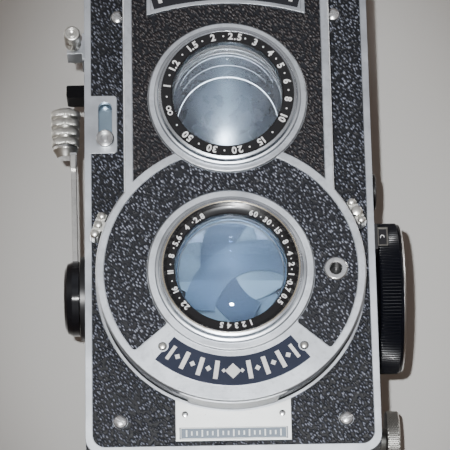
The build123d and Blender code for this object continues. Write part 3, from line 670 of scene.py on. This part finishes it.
# The socket face within 1.72 mm of the hole's axis is black: painted shade in the cable-release hole.
def socket_hole_shade_mask(q):
    x, y, z = q.sep()
    dx = q.math("SUBTRACT", x, 29.2)
    dz = q.math("SUBTRACT", z, 49.7 + OZ)
    r = q.math("SQRT", q.math("ADD", q.math("MULTIPLY", dx, dx), q.math("MULTIPLY", dz, dz)))
    return q.math("LESS_THAN", r, 1.72)


M["fittings"] = by_mask("side_fitting_finish", None, (0.74, 0.75, 0.76), 0.30, 1.0, (0.012, 0.012, 0.014), 0.35, 0.0, fit_mask)
frame["nodes"]["side_fittings"].data.materials[0] = M["fittings"]
M["socket"] = by_mask("cable_socket_hole_shade", None, (0.84, 0.86, 0.88), 0.22, 1.0, (0.010, 0.011, 0.012), 0.30, 0.0, socket_hole_shade_mask)
frame["nodes"]["cable_socket"].data.materials[0] = M["socket"]
frame["nodes"]["crank_arm"].data.materials[0] = M["crank"]

# Second element of the viewing lens: its colour is painted light standing in for the lit mirror and ground glass seen
# through the lens, a painted glow in a vertical band at the centre, fading to painted shade toward the sides and over
# the lower half.
q = Nt("inner_element_painted_glow")
x, y, z = q.sep()
dz = q.math("SUBTRACT", z, ZV + OZ)
c = q.ramp(q.math("MULTIPLY", q.math("ABSOLUTE", x), 1 / 15.0), [(0.0, (0.075, 0.100, 0.125)), (0.22, (0.044, 0.058, 0.075)), (0.55, (0.020, 0.025, 0.033)), (1.0, (0.010, 0.012, 0.016))])
low_shade_pos = q.math("MULTIPLY_ADD", dz, 1 / 31.0, 0.5, clamp=True)
c = q.mix(q.ramp(low_shade_pos, [(0.0, 0.9), (0.45, 0.0)]), c, (0.014, 0.017, 0.021))
cloud = q.noise(0.25, 3, 0.6).outputs[0]
M["painted_lens_glow"] = q.set(color=c, rough=q.math("MULTIPLY_ADD", cloud, 0.25, 0.16), metal=0.45, coat=0.5, coat_rough=0.05).mat
M["blue_flash"] = glass("violet_coated_glass", (0.72, 0.84, 1.0), 0.0, 1.62)
M["ring_black"] = paint("ring_black", (0.006, 0.006, 0.007), 0.20, 0.3, 0.3)
M["deep_black"] = paint("deep_black", (0.006, 0.006, 0.007), 0.55, 0.3)
M["warm_rim"] = metal("warm_rim", (0.86, 0.78, 0.62), 0.18)
M["blue_strip"] = metal("blued_strip", (0.42, 0.56, 0.68), 0.20, streak=0.1)
M["plate_light"] = metal("plate_light", (0.86, 0.88, 0.87), 0.42, spots=0.5)
M["band_grey"] = metal("band_grey", (0.17, 0.20, 0.235), 0.38, streak=0.1)
M["black_field"] = paint("black_field", (0.010, 0.011, 0.016), 0.26, 0.3, 0.2)
M["orange"] = paint("orange_index", (0.85, 0.33, 0.04), 0.4)
frame["nodes"]["lower_plate"].data.materials[0] = M["plate_light"]
# Shutter blades of one steel get separate tones: each blade's brightness is painted light, and the sides of the upper
# half are darkened as painted shade.
for i, tone in enumerate(((0.042, 0.056, 0.070), (0.020, 0.027, 0.036), (0.125, 0.148, 0.150), (0.105, 0.125, 0.130), (0.085, 0.102, 0.108))):
    q = Nt("blade_steel_%d" % (i + 1))
    cl_ = q.noise(0.12, 3, 0.6).outputs[0]
    st_ = q.noise(1.0, 3, 0.6, co=q.mapped((0.3, 1.0, 5.0))).outputs[0]
    bx_, by_, bz_ = q.sep()
    side_ = q.ramp(q.math("MULTIPLY", q.math("ABSOLUTE", bx_), 1 / 14.0), [(0.0, 0.0), (0.30, 0.35), (0.75, 1.0)])
    painted_upper_shade_ = q.math("MULTIPLY", side_, q.math("GREATER_THAN", bz_, ZT + OZ - 1.0))
    M["blade_%d" % i] = q.set(color=q.mix(painted_upper_shade_, q.mix(cl_, tuple(v * 0.85 for v in tone), tuple(min(1, v * 1.15) for v in tone)),
                                          tuple(v * 0.45 for v in tone)), metal=0.5,
                              rough=q.math("MULTIPLY_ADD", cl_, 0.1, 0.30), normal=q.bump(st_, 0.15, 0.00003)).mat
    frame["nodes"]["shutter_blade_%d" % (i + 1)].data.materials[0] = M["blade_%d" % i]


# ------------------------------------------------------------------ numerals
def glyphs(txt, size, font_cache={}):
    """Outline mesh of a numeral string, as triangles centred on its own box, in millimetres."""
    if (txt, size) in font_cache:
        return font_cache[(txt, size)]
    cu = bpy.data.curves.new("glyph", "FONT")
    cu.body = txt
    cu.size = size
    cu.resolution_u = 3
    cu.offset = 0.035 * size
    o = bpy.data.objects.new("glyph", cu)
    bpy.context.scene.collection.objects.link(o)
    bpy.context.view_layer.update()
    me = bpy.data.meshes.new_from_object(o)
    pts = [(v.co.x, v.co.y) for v in me.vertices]
    tris = [tuple(p.vertices) for p in me.polygons]
    bpy.data.objects.remove(o)
    bpy.data.curves.remove(cu)
    bpy.data.meshes.remove(me)
    x0, x1 = min(p[0] for p in pts), max(p[0] for p in pts)
    y0, y1 = min(p[1] for p in pts), max(p[1] for p in pts)
    pts = [(a - (x0 + x1) / 2, b - (y0 + y1) / 2) for a, b in pts]
    font_cache[(txt, size)] = (pts, tris, x1 - x0, y1 - y0)
    return font_cache[(txt, size)]


def prism_shapes(name, mat, body, shapes, y0, y1):
    """One mesh of many flat shapes between y0 and y1; shapes are (points, faces)."""
    V, F = [], []
    for pts, faces in shapes:
        b = len(V)
        n = len(pts)
        V += [(px, y0, pz) for px, pz in pts] + [(px, y1, pz) for px, pz in pts]
        edges = {}
        for f in faces:
            F.append(tuple(b + i for i in f))
            F.append(tuple(b + n + i for i in reversed(f)))
            for k in range(len(f)):
                e = (f[k], f[(k + 1) % len(f)])
                if (e[1], e[0]) in edges:
                    del edges[(e[1], e[0])]
                else:
                    edges[e] = 1
        for a, c in edges:
            F.append((b + a, b + c, b + n + c, b + n + a))
    return obj(name, V, F, mat, body)


def place(pts, cx, cz, rot):
    return [(cx + a * cos(rot) - b * sin(rot), cz + a * sin(rot) + b * cos(rot)) for a, b in pts]


def ring_text(items, zc, rad, size):
    """Numerals read clockwise with their tops outwards. items are (string, angle) in degrees from +X."""
    out = []
    for txt, ang in items:
        adv = 0.0
        ws = [glyphs(ch, size)[2] for ch in txt]
        gap = size * 0.13
        total = sum(ws) + gap * (len(txt) - 1)
        pos = -total / 2
        for ch, w in zip(txt, ws):
            pts, tris, gw, gh = glyphs(ch, size)
            mid = pos + w / 2
            t = radians(ang) - mid / rad
            rr_ = rad
            if ch == ".":
                rr_ = rad - size * 0.30
            out.append((place(pts, rr_ * cos(t), zc + rr_ * sin(t), t - pi / 2), tris))
            pos += w + gap
    return out


def dot(cx, cz, r, n=14):
    return ([(cx + r * cos(2 * pi * i / n), cz + r * sin(2 * pi * i / n)) for i in range(n)], [tuple(range(n))])


def bar(cx, cz, w, h, rot=0.0, shear=0.0):
    p = [(-w / 2 - shear, -h / 2), (w / 2 - shear, -h / 2), (w / 2 + shear, h / 2), (-w / 2 + shear, h / 2)]
    return (place(p, cx, cz, rot), [(0, 1, 2, 3)])


def polar(zc, rad, deg):
    t = radians(deg)
    return rad * cos(t), zc + rad * sin(t), t


def infinity(zc, rad, deg, s):
    x_, z_, t = polar(zc, rad, deg)
    out = []
    for sg in (-1, 1):
        n = 16
        c_ = place([(sg * s * 0.48, 0)], x_, z_, t - pi / 2)[0]
        ro, ri = s * 0.5, s * 0.27
        pts = [(c_[0] + ro * cos(2 * pi * i / n), c_[1] + ro * sin(2 * pi * i / n)) for i in range(n)] + \
              [(c_[0] + ri * cos(2 * pi * i / n), c_[1] + ri * sin(2 * pi * i / n)) for i in range(n)]
        out.append((pts, [(i, (i + 1) % n, n + (i + 1) % n, n + i) for i in range(n)]))
    return out


# ------------------------------------------------------------------ viewing lens
B = "lens_board"
lathe("view_ring", "ring_black", B, (0, ZV), "Y",
      [(18.75, -12.3), (18.75, -13.22), (18.6, -13.40), (15.95, -13.40), (15.7, -13.2), (15.55, -12.6), (15.5, -10.75),
       (16.2, -10.75), (16.2, -12.3), (18.75, -12.3)], 144, replaces="view_name_ring")
sh = []
R1 = 17.25
sh += ring_text([("1", 172), ("1.2", 150), ("1.5", 124), ("2", 103), ("2.5", 82), ("3", 62), ("4", 44), ("5", 28), ("6", 11), ("8", -7),
                 ("10", -27), ("15", -58), ("20", -82), ("30", -106), ("50", -132)], ZV, R1, 2.75)
sh += infinity(ZV, R1, -163, 1.5)
for a in (161, 137, 113.5, 93, 72, 53, 36, 19.5, 2, -16.5, -44, -70, -94, -119, -147, -177):
    x_, z_, t = polar(ZV, R1, a)
    sh.append(dot(x_, z_, 0.26))
prism_shapes("view_ring_numerals", "white", B, sh, -13.46, -13.39)
lathe("view_glass", "glass", B, (0, ZV), "Y",
      [(0, -12.5), (3, -12.425), (6, -12.20), (9, -11.82), (12, -11.28), (14.5, -10.70), (16.2, -10.32), (16.2, -8.3), (13, -8.0),
       (9, -7.6), (5, -7.38), (0, -7.3)], 144, replaces="view_front_glass")
lathe("view_step_ring", "satin", B, (0, ZV), "Y",
      [(19.78, -10.4), (19.78, -11.55), (19.95, -11.75), (20.6, -11.6), (20.85, -11.2), (20.9, -10.4), (19.78, -10.4)], 144)
lathe("view_lens_cell", "deep_black", B, (0, ZV), "Y",
      [(16.15, -8.2), (15.3, -8.2), (15.0, -7.6), (15.0, -5.2), (14.6, -5.0), (14.6, -3.4), (14.3, -3.2), (14.3, 0.6), (16.2, 0.6),
       (16.15, -8.2)], 128)
for k, (r_, y_) in enumerate(((15.0, -6.6), (14.35, -3.0))):
    lathe("view_bright_edge_%d" % (k + 1), "bright", B, (0, ZV), "Y",
          [(r_ - 0.02, y_ - 0.14), (r_ - 0.30, y_), (r_ - 0.02, y_ + 0.14), (r_ + 0.1, y_), (r_ - 0.02, y_ - 0.14)], 128)
# Second element of the viewing lens, carrying the painted glow and shade.
lathe("view_second_element", "painted_lens_glow", B, (0, ZV), "Y",
      [(0, -4.3), (2, -4.2), (4, -3.91), (6, -3.42), (8, -2.71), (10, -1.77), (12, -0.53), (13.4, 0.2), (14.25, 0.35), (14.25, 0.5), (0, 0.5)], 128)
lathe("view_middle_element", "glass", B, (0, ZV), "Y",
      [(0, -5.1), (3, -5.215), (6, -5.565), (9, -6.155), (12, -6.995), (13.6, -7.5), (14.9, -7.5), (14.9, -7.1), (13.4, -7.05), (12, -6.6), (9, -5.76), (6, -5.17),
       (3, -4.82), (0, -4.7)], 128)


def arc_line(name, mat, pts, y, w):
    """Thin bright line along points in x and z at one depth."""
    sh_, n_ = [], len(pts)
    L_, R_ = [], []
    for i in range(n_):
        a_, b_ = pts[max(0, i - 1)], pts[min(n_ - 1, i + 1)]
        dx_, dz_ = b_[0] - a_[0], b_[1] - a_[1]
        l_ = sqrt(dx_ * dx_ + dz_ * dz_)
        f_ = w / 2 * (0.35 + 0.65 * sin(pi * i / (n_ - 1)))
        L_.append((pts[i][0] - dz_ / l_ * f_, pts[i][1] + dx_ / l_ * f_))
        R_.append((pts[i][0] + dz_ / l_ * f_, pts[i][1] - dx_ / l_ * f_))
    V_ = L_ + R_
    return prism_shapes(name, mat, B, [(V_, [(i, i + 1, n_ + i + 1, n_ + i) for i in range(n_ - 1)])], y - 0.04, y)


def arc_pts(cz_, r_, a0, a1, n_=28):
    return [(r_ * cos(radians(a0 + (a1 - a0) * i / n_)), cz_ + r_ * sin(radians(a0 + (a1 - a0) * i / n_))) for i in range(n_ + 1)]


# Thin light arcs at fixed depths inside the viewing lens are painted reflections, in a light and a dim paint.
M["glint_light"] = paint("element_arc_glint", (0.62, 0.68, 0.74), 0.3)
M["glint_dim"] = paint("element_arc_glint_dim", (0.26, 0.29, 0.33), 0.3)
arc_line("view_arc_glint_1", "glint_light", arc_pts(94.35, 13.5, 168, 8), -4.6, 0.34)
arc_line("view_arc_glint_2", "glint_dim", arc_pts(100.2, 13.8, 156, 26), -5.4, 0.22)
arc_line("view_arc_glint_3", "glint_dim", arc_pts(97.6, 13.6, 150, 40), -5.0, 0.16)

# ------------------------------------------------------------------ taking lens
prof = [(18.75, -12.3), (18.75, -13.3)]
r_, y_ = 18.6, -13.38
for k in range(4):
    prof += [(r_, y_), (r_ - 0.10, y_ + 0.16)]
    r_ -= 0.20
    y_ += 0.19
prof += [(17.75, -12.58), (15.95, -12.52), (15.7, -12.3), (15.5, -10.75), (16.2, -10.75), (16.2, -12.25), (18.75, -12.3)]
lathe("take_ring", "ring_black", B, (0, ZT), "Y", prof, 144, ang=0.5, replaces="take_name_ring")
sh = []
R2 = 16.85
sh += ring_text([("22", -140), ("16", -158), ("11", -176), ("8", 168), ("5.6", 152), ("4", 136), ("2.8", 121), ("60", 67), ("30", 52), ("15", 38),
                 ("8", 25), ("4", 13), ("2", 2), ("1", -8), ("0.7", -20), ("0.5", -34), ("1", -72), ("2", -79), ("3", -86), ("4", -93), ("5", -100)],
                ZT, R2, 2.15)
for a in (-149, -167, 176.5, 160, 144, 128.5, 59.5, 45, 31.5, 19, 7.5, -3, -13.5):
    x_, z_, t = polar(ZT, R2, a)
    sh.append(dot(x_, z_, 0.20))
prism_shapes("take_ring_numerals", "white", B, sh, -12.66, -12.50)
lathe("take_glass", "blue_flash", B, (0, ZT), "Y",
      [(0, -12.5), (3, -12.425), (6, -12.20), (9, -11.82), (12, -11.28), (14.5, -10.70), (16.2, -10.32), (16.2, -8.6), (13, -8.25),
       (9, -7.95), (5, -7.8), (0, -7.75)], 144, replaces="take_front_glass")
lathe("take_second_element", "glass_blue", B, (0, ZT), "Y",
      [(0, -4.6), (4, -4.75), (8, -5.2), (11, -5.8), (13.4, -6.4), (14.0, -6.5), (14.0, -4.6), (11, -4.0), (6, -3.5), (0, -3.3)], 128)
lathe("take_lens_cell", "deep_black", B, (0, ZT), "Y",
      [(16.15, -8.5), (15.3, -8.5), (15.0, -7.8), (14.9, -6.6), (14.1, -6.55), (14.1, -4.5), (15.2, -4.3), (15.4, -3.1), (16.25, -3.1),
       (16.15, -8.5)], 128)
lathe("take_bright_edge", "blue_strip", B, (0, ZT), "Y",
      [(14.9, -7.5), (14.55, -7.35), (14.9, -7.2), (15.0, -7.35), (14.9, -7.5)], 128)
lathe("take_warm_rim", "warm_rim", B, (0, ZT), "Y",
      [(18.85, -13.32), (19.05, -13.42), (19.25, -13.32), (19.2, -13.15), (18.9, -13.15), (18.85, -13.32)], 144)
lathe("take_step_ring", "satin", B, (0, ZT), "Y",
      [(20.08, -10.4), (20.08, -11.3), (20.25, -11.5), (20.95, -11.35), (21.2, -11.0), (21.25, -10.4), (20.08, -10.4)], 144)

# ------------------------------------------------------------------ badge, nameplate, lower plate
def arc_field(name, mat, body, zc, r0, r1, a0, a1, y0, y1, n=40, notch=None, xlim=None):
    pts = []
    for i in range(n + 1):
        a = radians(a0 + (a1 - a0) * i / n)
        pts.append((r1 * cos(a), zc + r1 * sin(a)))
    inner = []
    for i in range(n + 1):
        a = radians(a1 + (a0 - a1) * i / n)
        inner.append((r0 * cos(a), zc + r0 * sin(a)))
    V = pts + list(reversed(inner))
    F = [(i, i + 1, n + 1 + i + 1, n + 1 + i) for i in range(n)]
    return prism_shapes(name, mat, body, [(V, F)], y0, y1)


sh = []
rm = 29.15


def on_arc(deg, px, pz, w_, h_, sr=0.0):
    t = radians(deg)
    cx_, cz_ = place([(px, pz)], rm * cos(t), ZT + rm * sin(t), t + pi / 2)[0]
    return bar(cx_, cz_, w_, h_, t + pi / 2 + sr)


for sg in (-1, 1):
    for k_, da in enumerate((9.0, 18.0, 27.0)):
        sh.append(on_arc(270 + sg * da, 0, 0, 1.25, 5.2))
        sh.append(on_arc(270 + sg * (da + 4.5), 0, 0, 1.2, 1.2, pi / 4))
    sh.append(on_arc(270 + sg * 35.6, 0, 0, 1.0, 4.4))
    sh.append(on_arc(270 + sg * 5.0, 0, 0, 0.9, 0.9, pi / 4))
sh.append(on_arc(270, 0, 0, 3.1, 3.1, pi / 4))
prism_shapes("badge_ornament", "white", B, sh, -10.58, -10.48)
for k, (x_, z_) in enumerate(((-19.3, 28.1), (19.8, 27.8))):
    lathe("badge_screw_%d" % (k + 1), "ivory_chrome", B, (x_, z_), "Y",
          [(0, -10.42), (0.45, -10.42), (0.85, -10.25), (0.98, -10.0), (0.98, -9.9), (0, -9.9)], 32)
    lathe("badge_screw_ring_%d" % (k + 1), "deep_black", B, (x_, z_), "Y",
          [(1.0, -10.0), (1.22, -10.02), (1.22, -9.9), (1.0, -9.9), (1.0, -10.0)], 32)

# the nameplate's dark field and its row of generic marks
a_half = math.degrees(math.asin(21.4 / 81.7))
arc_field("nameplate_field", "black_field", B, 52.5, 78.3, 85.2, 90 - 15.2, 90 + 15.2, -10.22, -10.1)
sh = []
for k in range(-6, 7):
    t = radians(90 - k * 2.25)
    cx_, cz_ = 81.75 * cos(t), 52.5 + 81.75 * sin(t)
    rot = t - pi / 2
    if k % 2:
        sh.append(bar(cx_, cz_, 1.7, 1.7, rot + pi / 4))
    else:
        for px in (0.0,):
            qx, qz = place([(px, 0)], cx_, cz_, rot)[0]
            sh.append(bar(qx, qz, 1.1, 4.2, rot))
prism_shapes("nameplate_ornament", "white", B, sh, -10.34, -10.21)

R = "root"
band = [(([(-15.0, 3.95), (15.0, 3.95), (15.0, 7.3), (-15.0, 7.3)]), [(0, 1, 2, 3)])]
prism_shapes("lower_band", "band_grey", R, band, -0.42, -0.34)
sh = []
for k in range(-9, 10):
    h_ = 1.9 if k % 3 == 0 else 1.2
    sh.append(bar(k * 1.45, 5.62, 0.42, h_))
sh += [bar(0, 4.12, 29.4, 0.22), bar(0, 7.12, 29.4, 0.22), bar(-14.6, 5.62, 0.22, 3.0), bar(14.6, 5.62, 0.22, 3.0)]
prism_shapes("lower_band_marks", "plate_light", R, sh, -0.46, -0.41)
for k, x_ in enumerate((-13.4, 13.6)):
    lathe("lower_rivet_%d" % (k + 1), "bright", R, (x_, 11.1), "Y",
          [(0, -0.62), (0.5, -0.6), (0.8, -0.5), (0.9, -0.34), (0, -0.34)], 24)

# ------------------------------------------------------------------ knobs, grip, buttons
def ribs(n, depth, ks, sharp=1.0):
    def f(i, k, t, r):
        if k in ks:
            return r - depth * (0.5 - 0.5 * cos(n * t)) ** sharp
        return r
    return f


kp = [(0, 42.25), (2.2, 42.25), (20.9, 42.25), (21.4, 42.5), (21.85, 42.95), (21.85, 48.1), (21.55, 48.3), (21.5, 48.5), (21.6, 48.65),
      (20.8, 49.55), (18.6, 49.55), (18.2, 48.95), (6.2, 48.95), (5.7, 49.45), (0, 49.45)]
lathe("focus_knob_ribbed", "knob", "focus_drive", (24.0, 50.6), "X", kp, 1152, radial=ribs(144, 0.55, (4, 5), 1.6), ang=0.5, replaces="focus_knob")
lathe("focus_knob_edge", "bright", "focus_drive", (24.0, 50.6), "X",
      [(20.7, 49.52), (20.85, 49.52), (21.25, 49.1), (21.4, 49.0), (21.42, 49.12), (20.95, 49.6), (20.6, 49.6), (20.7, 49.52)], 160)


def face_x_shapes(name, mat, body, shapes, x0, x1):
    V, F = [], []
    for pts, faces in shapes:
        b = len(V)
        n = len(pts)
        V += [(x0, py, pz) for py, pz in pts] + [(x1, py, pz) for py, pz in pts]
        edges = {}
        for f in faces:
            F.append(tuple(b + i for i in f))
            F.append(tuple(b + n + i for i in reversed(f)))
            for k in range(len(f)):
                e = (f[k], f[(k + 1) % len(f)])
                if (e[1], e[0]) in edges:
                    del edges[(e[1], e[0])]
                else:
                    edges[e] = 1
        for a, c in edges:
            F.append((b + a, b + c, b + n + c, b + n + a))
    return obj(name, V, F, mat, body)


sh = []
for k, txt in enumerate(("1", "1.2", "1.5", "2", "3", "5", "10", "20")):
    a = 150 - k * 38
    t = radians(a)
    adv = 0.0
    ws = [glyphs(ch, 3.4)[2] for ch in txt]
    tot = sum(ws) + 0.4 * (len(txt) - 1)
    pos = -tot / 2
    for ch, w_ in zip(txt, ws):
        pts, tris, gw, gh = glyphs(ch, 3.4)
        tt = t - (pos + w_ / 2) / 14.5
        r_ = 14.5 - (1.0 if ch == "." else 0.0)
        sh.append((place(pts, 24.0 + r_ * cos(tt), 50.6 + r_ * sin(tt), tt - pi / 2), tris))
        pos += w_ + 0.4
for k in range(40):
    t = radians(k * 9)
    l_ = 1.3 if k % 4 == 0 else 0.8
    sh.append(bar(24.0 + 17.6 * cos(t), 50.6 + 17.6 * sin(t), l_, 0.22, t))
face_x_shapes("focus_knob_scale", "white", "focus_drive", sh, 48.93, 49.01)


def knurl(nr, depth, ks, shift):
    def f(i, k, t, r):
        if k in ks:
            return r - depth * (0.5 - 0.5 * cos(nr * t + (pi if (k - ks[0]) % 2 else 0) + shift))
        return r
    return f


sk = [(0, 29.8), (3.0, 29.8), (3.0, 42.1), (4.4, 42.15), (4.4, 46.15), (8.9, 46.15), (9.2, 46.3)]
for k in range(9):
    sk.append((9.48, 46.5 + k * 0.39))
sk += [(9.2, 49.85), (8.9, 50.1), (7.6, 50.1), (7.2, 49.8), (3.0, 49.8), (2.6, 50.25), (0, 50.25)]
lathe("spool_knob_knurled", "spool_metal", "spool_release", (60.0, 16.3), "X", sk, 288, radial=knurl(48, 0.5, list(range(7, 16)), 0), ang=0.9, replaces="spool_knob")

gp = [(1.6, 98.5), (2.6, 98.5), (2.9, 98.9), (3.4, 98.75)]
ks = []
zz = 98.6
for rg in range(4):
    ro = 4.05 + 0.1 * rg
    gp.append((ro - 0.25, zz))
    for m_ in range(4):
        ks.append(len(gp))
        gp.append((ro - (0.10 if m_ in (0, 3) else 0.0), zz + 0.15 + m_ * 0.62))
    gp.append((ro - 0.3, zz + 2.12))
    if rg < 3:
        gp += [(ro - 0.62, zz + 2.3), (ro - 0.70, zz + 2.55), (ro - 0.60, zz + 2.78)]
    zz += 2.9
gp += [(3.6, 109.48), (1.6, 109.48)]


def gknurl(i, k, t, r):
    if k in ks:
        return r - 0.16 * (0.5 - 0.5 * cos(64 * t))
    return r


lathe("crank_grip_knurled", "ivory_chrome", "grip", (-47.5, 24.0), "Z", gp + [gp[0]], 512, radial=gknurl, ang=0.9, replaces="crank_grip")

rb = [(0, -6.75), (0.5, -6.8), (0.65, -6.95), (0.95, -6.95), (1.1, -6.75), (1.35, -6.75), (1.5, -6.95), (1.9, -6.95), (2.1, -6.85)]
kk = []
for m_ in range(8):
    kk.append(len(rb))
    rb.append((2.38, -6.65 + m_ * 0.47))
rb += [(2.1, -3.25), (2.05, -2.6)]
for m_ in range(8):
    kk.append(len(rb))
    rb.append((2.38, -2.3 + m_ * 0.5))
rb += [(1.0, 1.55), (1.0, 14.9), (0, 14.9)]


def rknurl(i, k, t, r):
    if k in kk:
        return r - 0.22 * (0.5 - 0.5 * cos(30 * t + (pi if kk.index(k) % 2 else 0)))
    return r


lathe("grip_skirt", "ivory_chrome", "crank_handle", (-47.5, 24.0), "Z",
      [(1.6, 98.3), (3.55, 98.3), (3.72, 97.9), (3.72, 97.45), (3.3, 96.9), (3.05, 96.55), (2.35, 95.25), (1.6, 95.25), (1.6, 98.3)], 64)
lathe("release_button_knurled", "ivory_chrome", "release", (-44.25, 122.4), "Y", rb, 160, radial=rknurl, ang=0.9, replaces="release_button")
lathe("slider_button_turned", "bright", "slider", (-35.05, 92.1), "Y",
      [(0, -2.05), (0.7, -2.05), (0.85, -1.85), (1.05, -1.85), (1.2, -2.15), (1.75, -2.25), (1.9, -2.05), (2.05, -2.05), (2.2, -2.25), (2.45, -2.15),
       (2.58, -1.9), (2.58, -0.35), (1.7, -0.3), (1.7, 1.9), (3.0, 1.9), (3.0, 3.0), (0, 3.0)], 64, replaces="slider_button")
obj("slot_strip", [(x, y, z) for x in (-38.3, -31.7) for y in (3.1, 3.38) for z in (88.9, 104.9)],
    [(0, 1, 3, 2), (4, 6, 7, 5), (0, 4, 5, 1), (2, 3, 7, 6), (0, 2, 6, 4), (1, 5, 7, 3)], "blue_strip", R)

# ribbed thumb tabs of the two setting levers
for nm, bd, ang, lobes in (("aperture_tab", "aperture_setting", 158.5, ((-2.75, 1.2), (0, 1.25), (2.75, 1.3))),
                           ("speed_tab", "speed_setting", 26.0, ((-2.8, 1.15), (0, 1.75), (3.05, 1.2)))):
    t = radians(ang)
    for k, (off, rad_) in enumerate(lobes):
        cx_ = 39.7 * cos(t) - off * sin(t)
        cz_ = ZT + 39.7 * sin(t) + off * cos(t)
        lathe("%s_%d" % (nm, k + 1), "ivory_chrome", bd, (cx_, cz_), "Y",
              [(0, -8.3), (rad_ * 0.45, -8.27), (rad_ * 0.8, -8.05), (rad_, -7.5), (rad_, -2.4), (rad_ * 0.8, -2.1), (0, -2.1)], 40,
              radial=lambda i, kq, tt, r: r - 0.10 * (0.5 - 0.5 * cos(8 * tt)) if kq in (2, 3, 4) else r)

# index window beside the knob
obj("index_window", [(x, y, z) for x in (41.95, 44.7) for y in (0.42, 0.5) for z in (59.5, 64.8)],
    [(0, 1, 3, 2), (4, 6, 7, 5), (0, 4, 5, 1), (2, 3, 7, 6), (0, 2, 6, 4), (1, 5, 7, 3)], "gloss", R)
fr = [(41.9, 59.4), (44.8, 59.4), (44.8, 64.9), (41.9, 64.9)]
f2 = [(42.2, 59.8), (44.35, 59.8), (44.35, 64.3), (42.2, 64.3)]
M["bronze"] = metal("browned_frame", (0.13, 0.125, 0.115), 0.42)
prism_shapes("index_frame", "bronze", R, [(fr + f2, [(0, 1, 5, 4), (1, 2, 6, 5), (2, 3, 7, 6), (3, 0, 4, 7)])], 0.30, 0.5)
# The small white arc in the window is a painted glint.
arc = []
for k in range(9):
    a = radians(200 - k * 26)
    arc.append((43.2 + 0.62 * cos(a), 61.9 + 0.75 * sin(a)))
for k in range(8, -1, -1):
    a = radians(200 - k * 26)
    arc.append((43.2 + 0.42 * cos(a), 61.9 + 0.52 * sin(a)))
prism_shapes("index_glint", "white", R, [(arc, [(i, i + 1, 16 - i, 17 - i) for i in range(8)])], 0.36, 0.44)

# ------------------------------------------------------------------ hood leathers
def sheet(name, body, x0, x1, y0, y1, z0, z1):
    v = [(x, y, z) for x in (x0, x1) for y in (y0, y1) for z in (z0, z1)]
    return obj(name, v, [(0, 1, 3, 2), (4, 6, 7, 5), (0, 4, 5, 1), (2, 3, 7, 6), (0, 2, 6, 4), (1, 5, 7, 3)], "leather", body, bevel=0.12)


zf = 157.5
V, F = [], []
o_ = [(-30.5, zf + 2.5), (30.5, zf + 2.5), (30.5, zf + 61.0), (-30.5, zf + 61.0)]
i_ = [(-15.5, zf + 35.5), (15.5, zf + 35.5), (15.5, zf + 58.5), (-15.5, zf + 58.5)]
prism_shapes("hood_front_leather", "leather", "hood_front_panel", [(o_ + i_, [(0, 1, 5, 4), (1, 2, 6, 5), (2, 3, 7, 6), (3, 0, 4, 7)])], 7.2, 7.52)
w_ = [(-14.9, zf + 36.1), (14.9, zf + 36.1), (14.9, zf + 57.9), (-14.9, zf + 57.9)]
w2 = [(-14.0, zf + 37.0), (14.0, zf + 37.0), (14.0, zf + 57.0), (-14.0, zf + 57.0)]
prism_shapes("finder_frame", "bright", "hood_front_panel", [(w_ + w2, [(0, 1, 5, 4), (1, 2, 6, 5), (2, 3, 7, 6), (3, 0, 4, 7)])], 7.1, 7.52)
sheet("hood_left_leather", "hood_left_panel", -34.75, -34.44, 15.5, 68.7, 150 + 4, 150 + 53)
sheet("hood_right_leather", "hood_right_panel", 34.44, 34.75, 15.5, 68.7, 151.4 + 4, 151.4 + 53)

for nm in ("view_glass", "take_glass", "take_second_element", "view_middle_element"):
    bpy.data.objects[nm].visible_shadow = False

lens_lit = bpy.data.collections.new("lens_lit")
for nm in ("view_glass", "take_glass", "take_second_element", "view_middle_element", "view_second_element"):
    lens_lit.objects.link(bpy.data.objects[nm])
gl.light_linking.receiver_collection = lens_lit
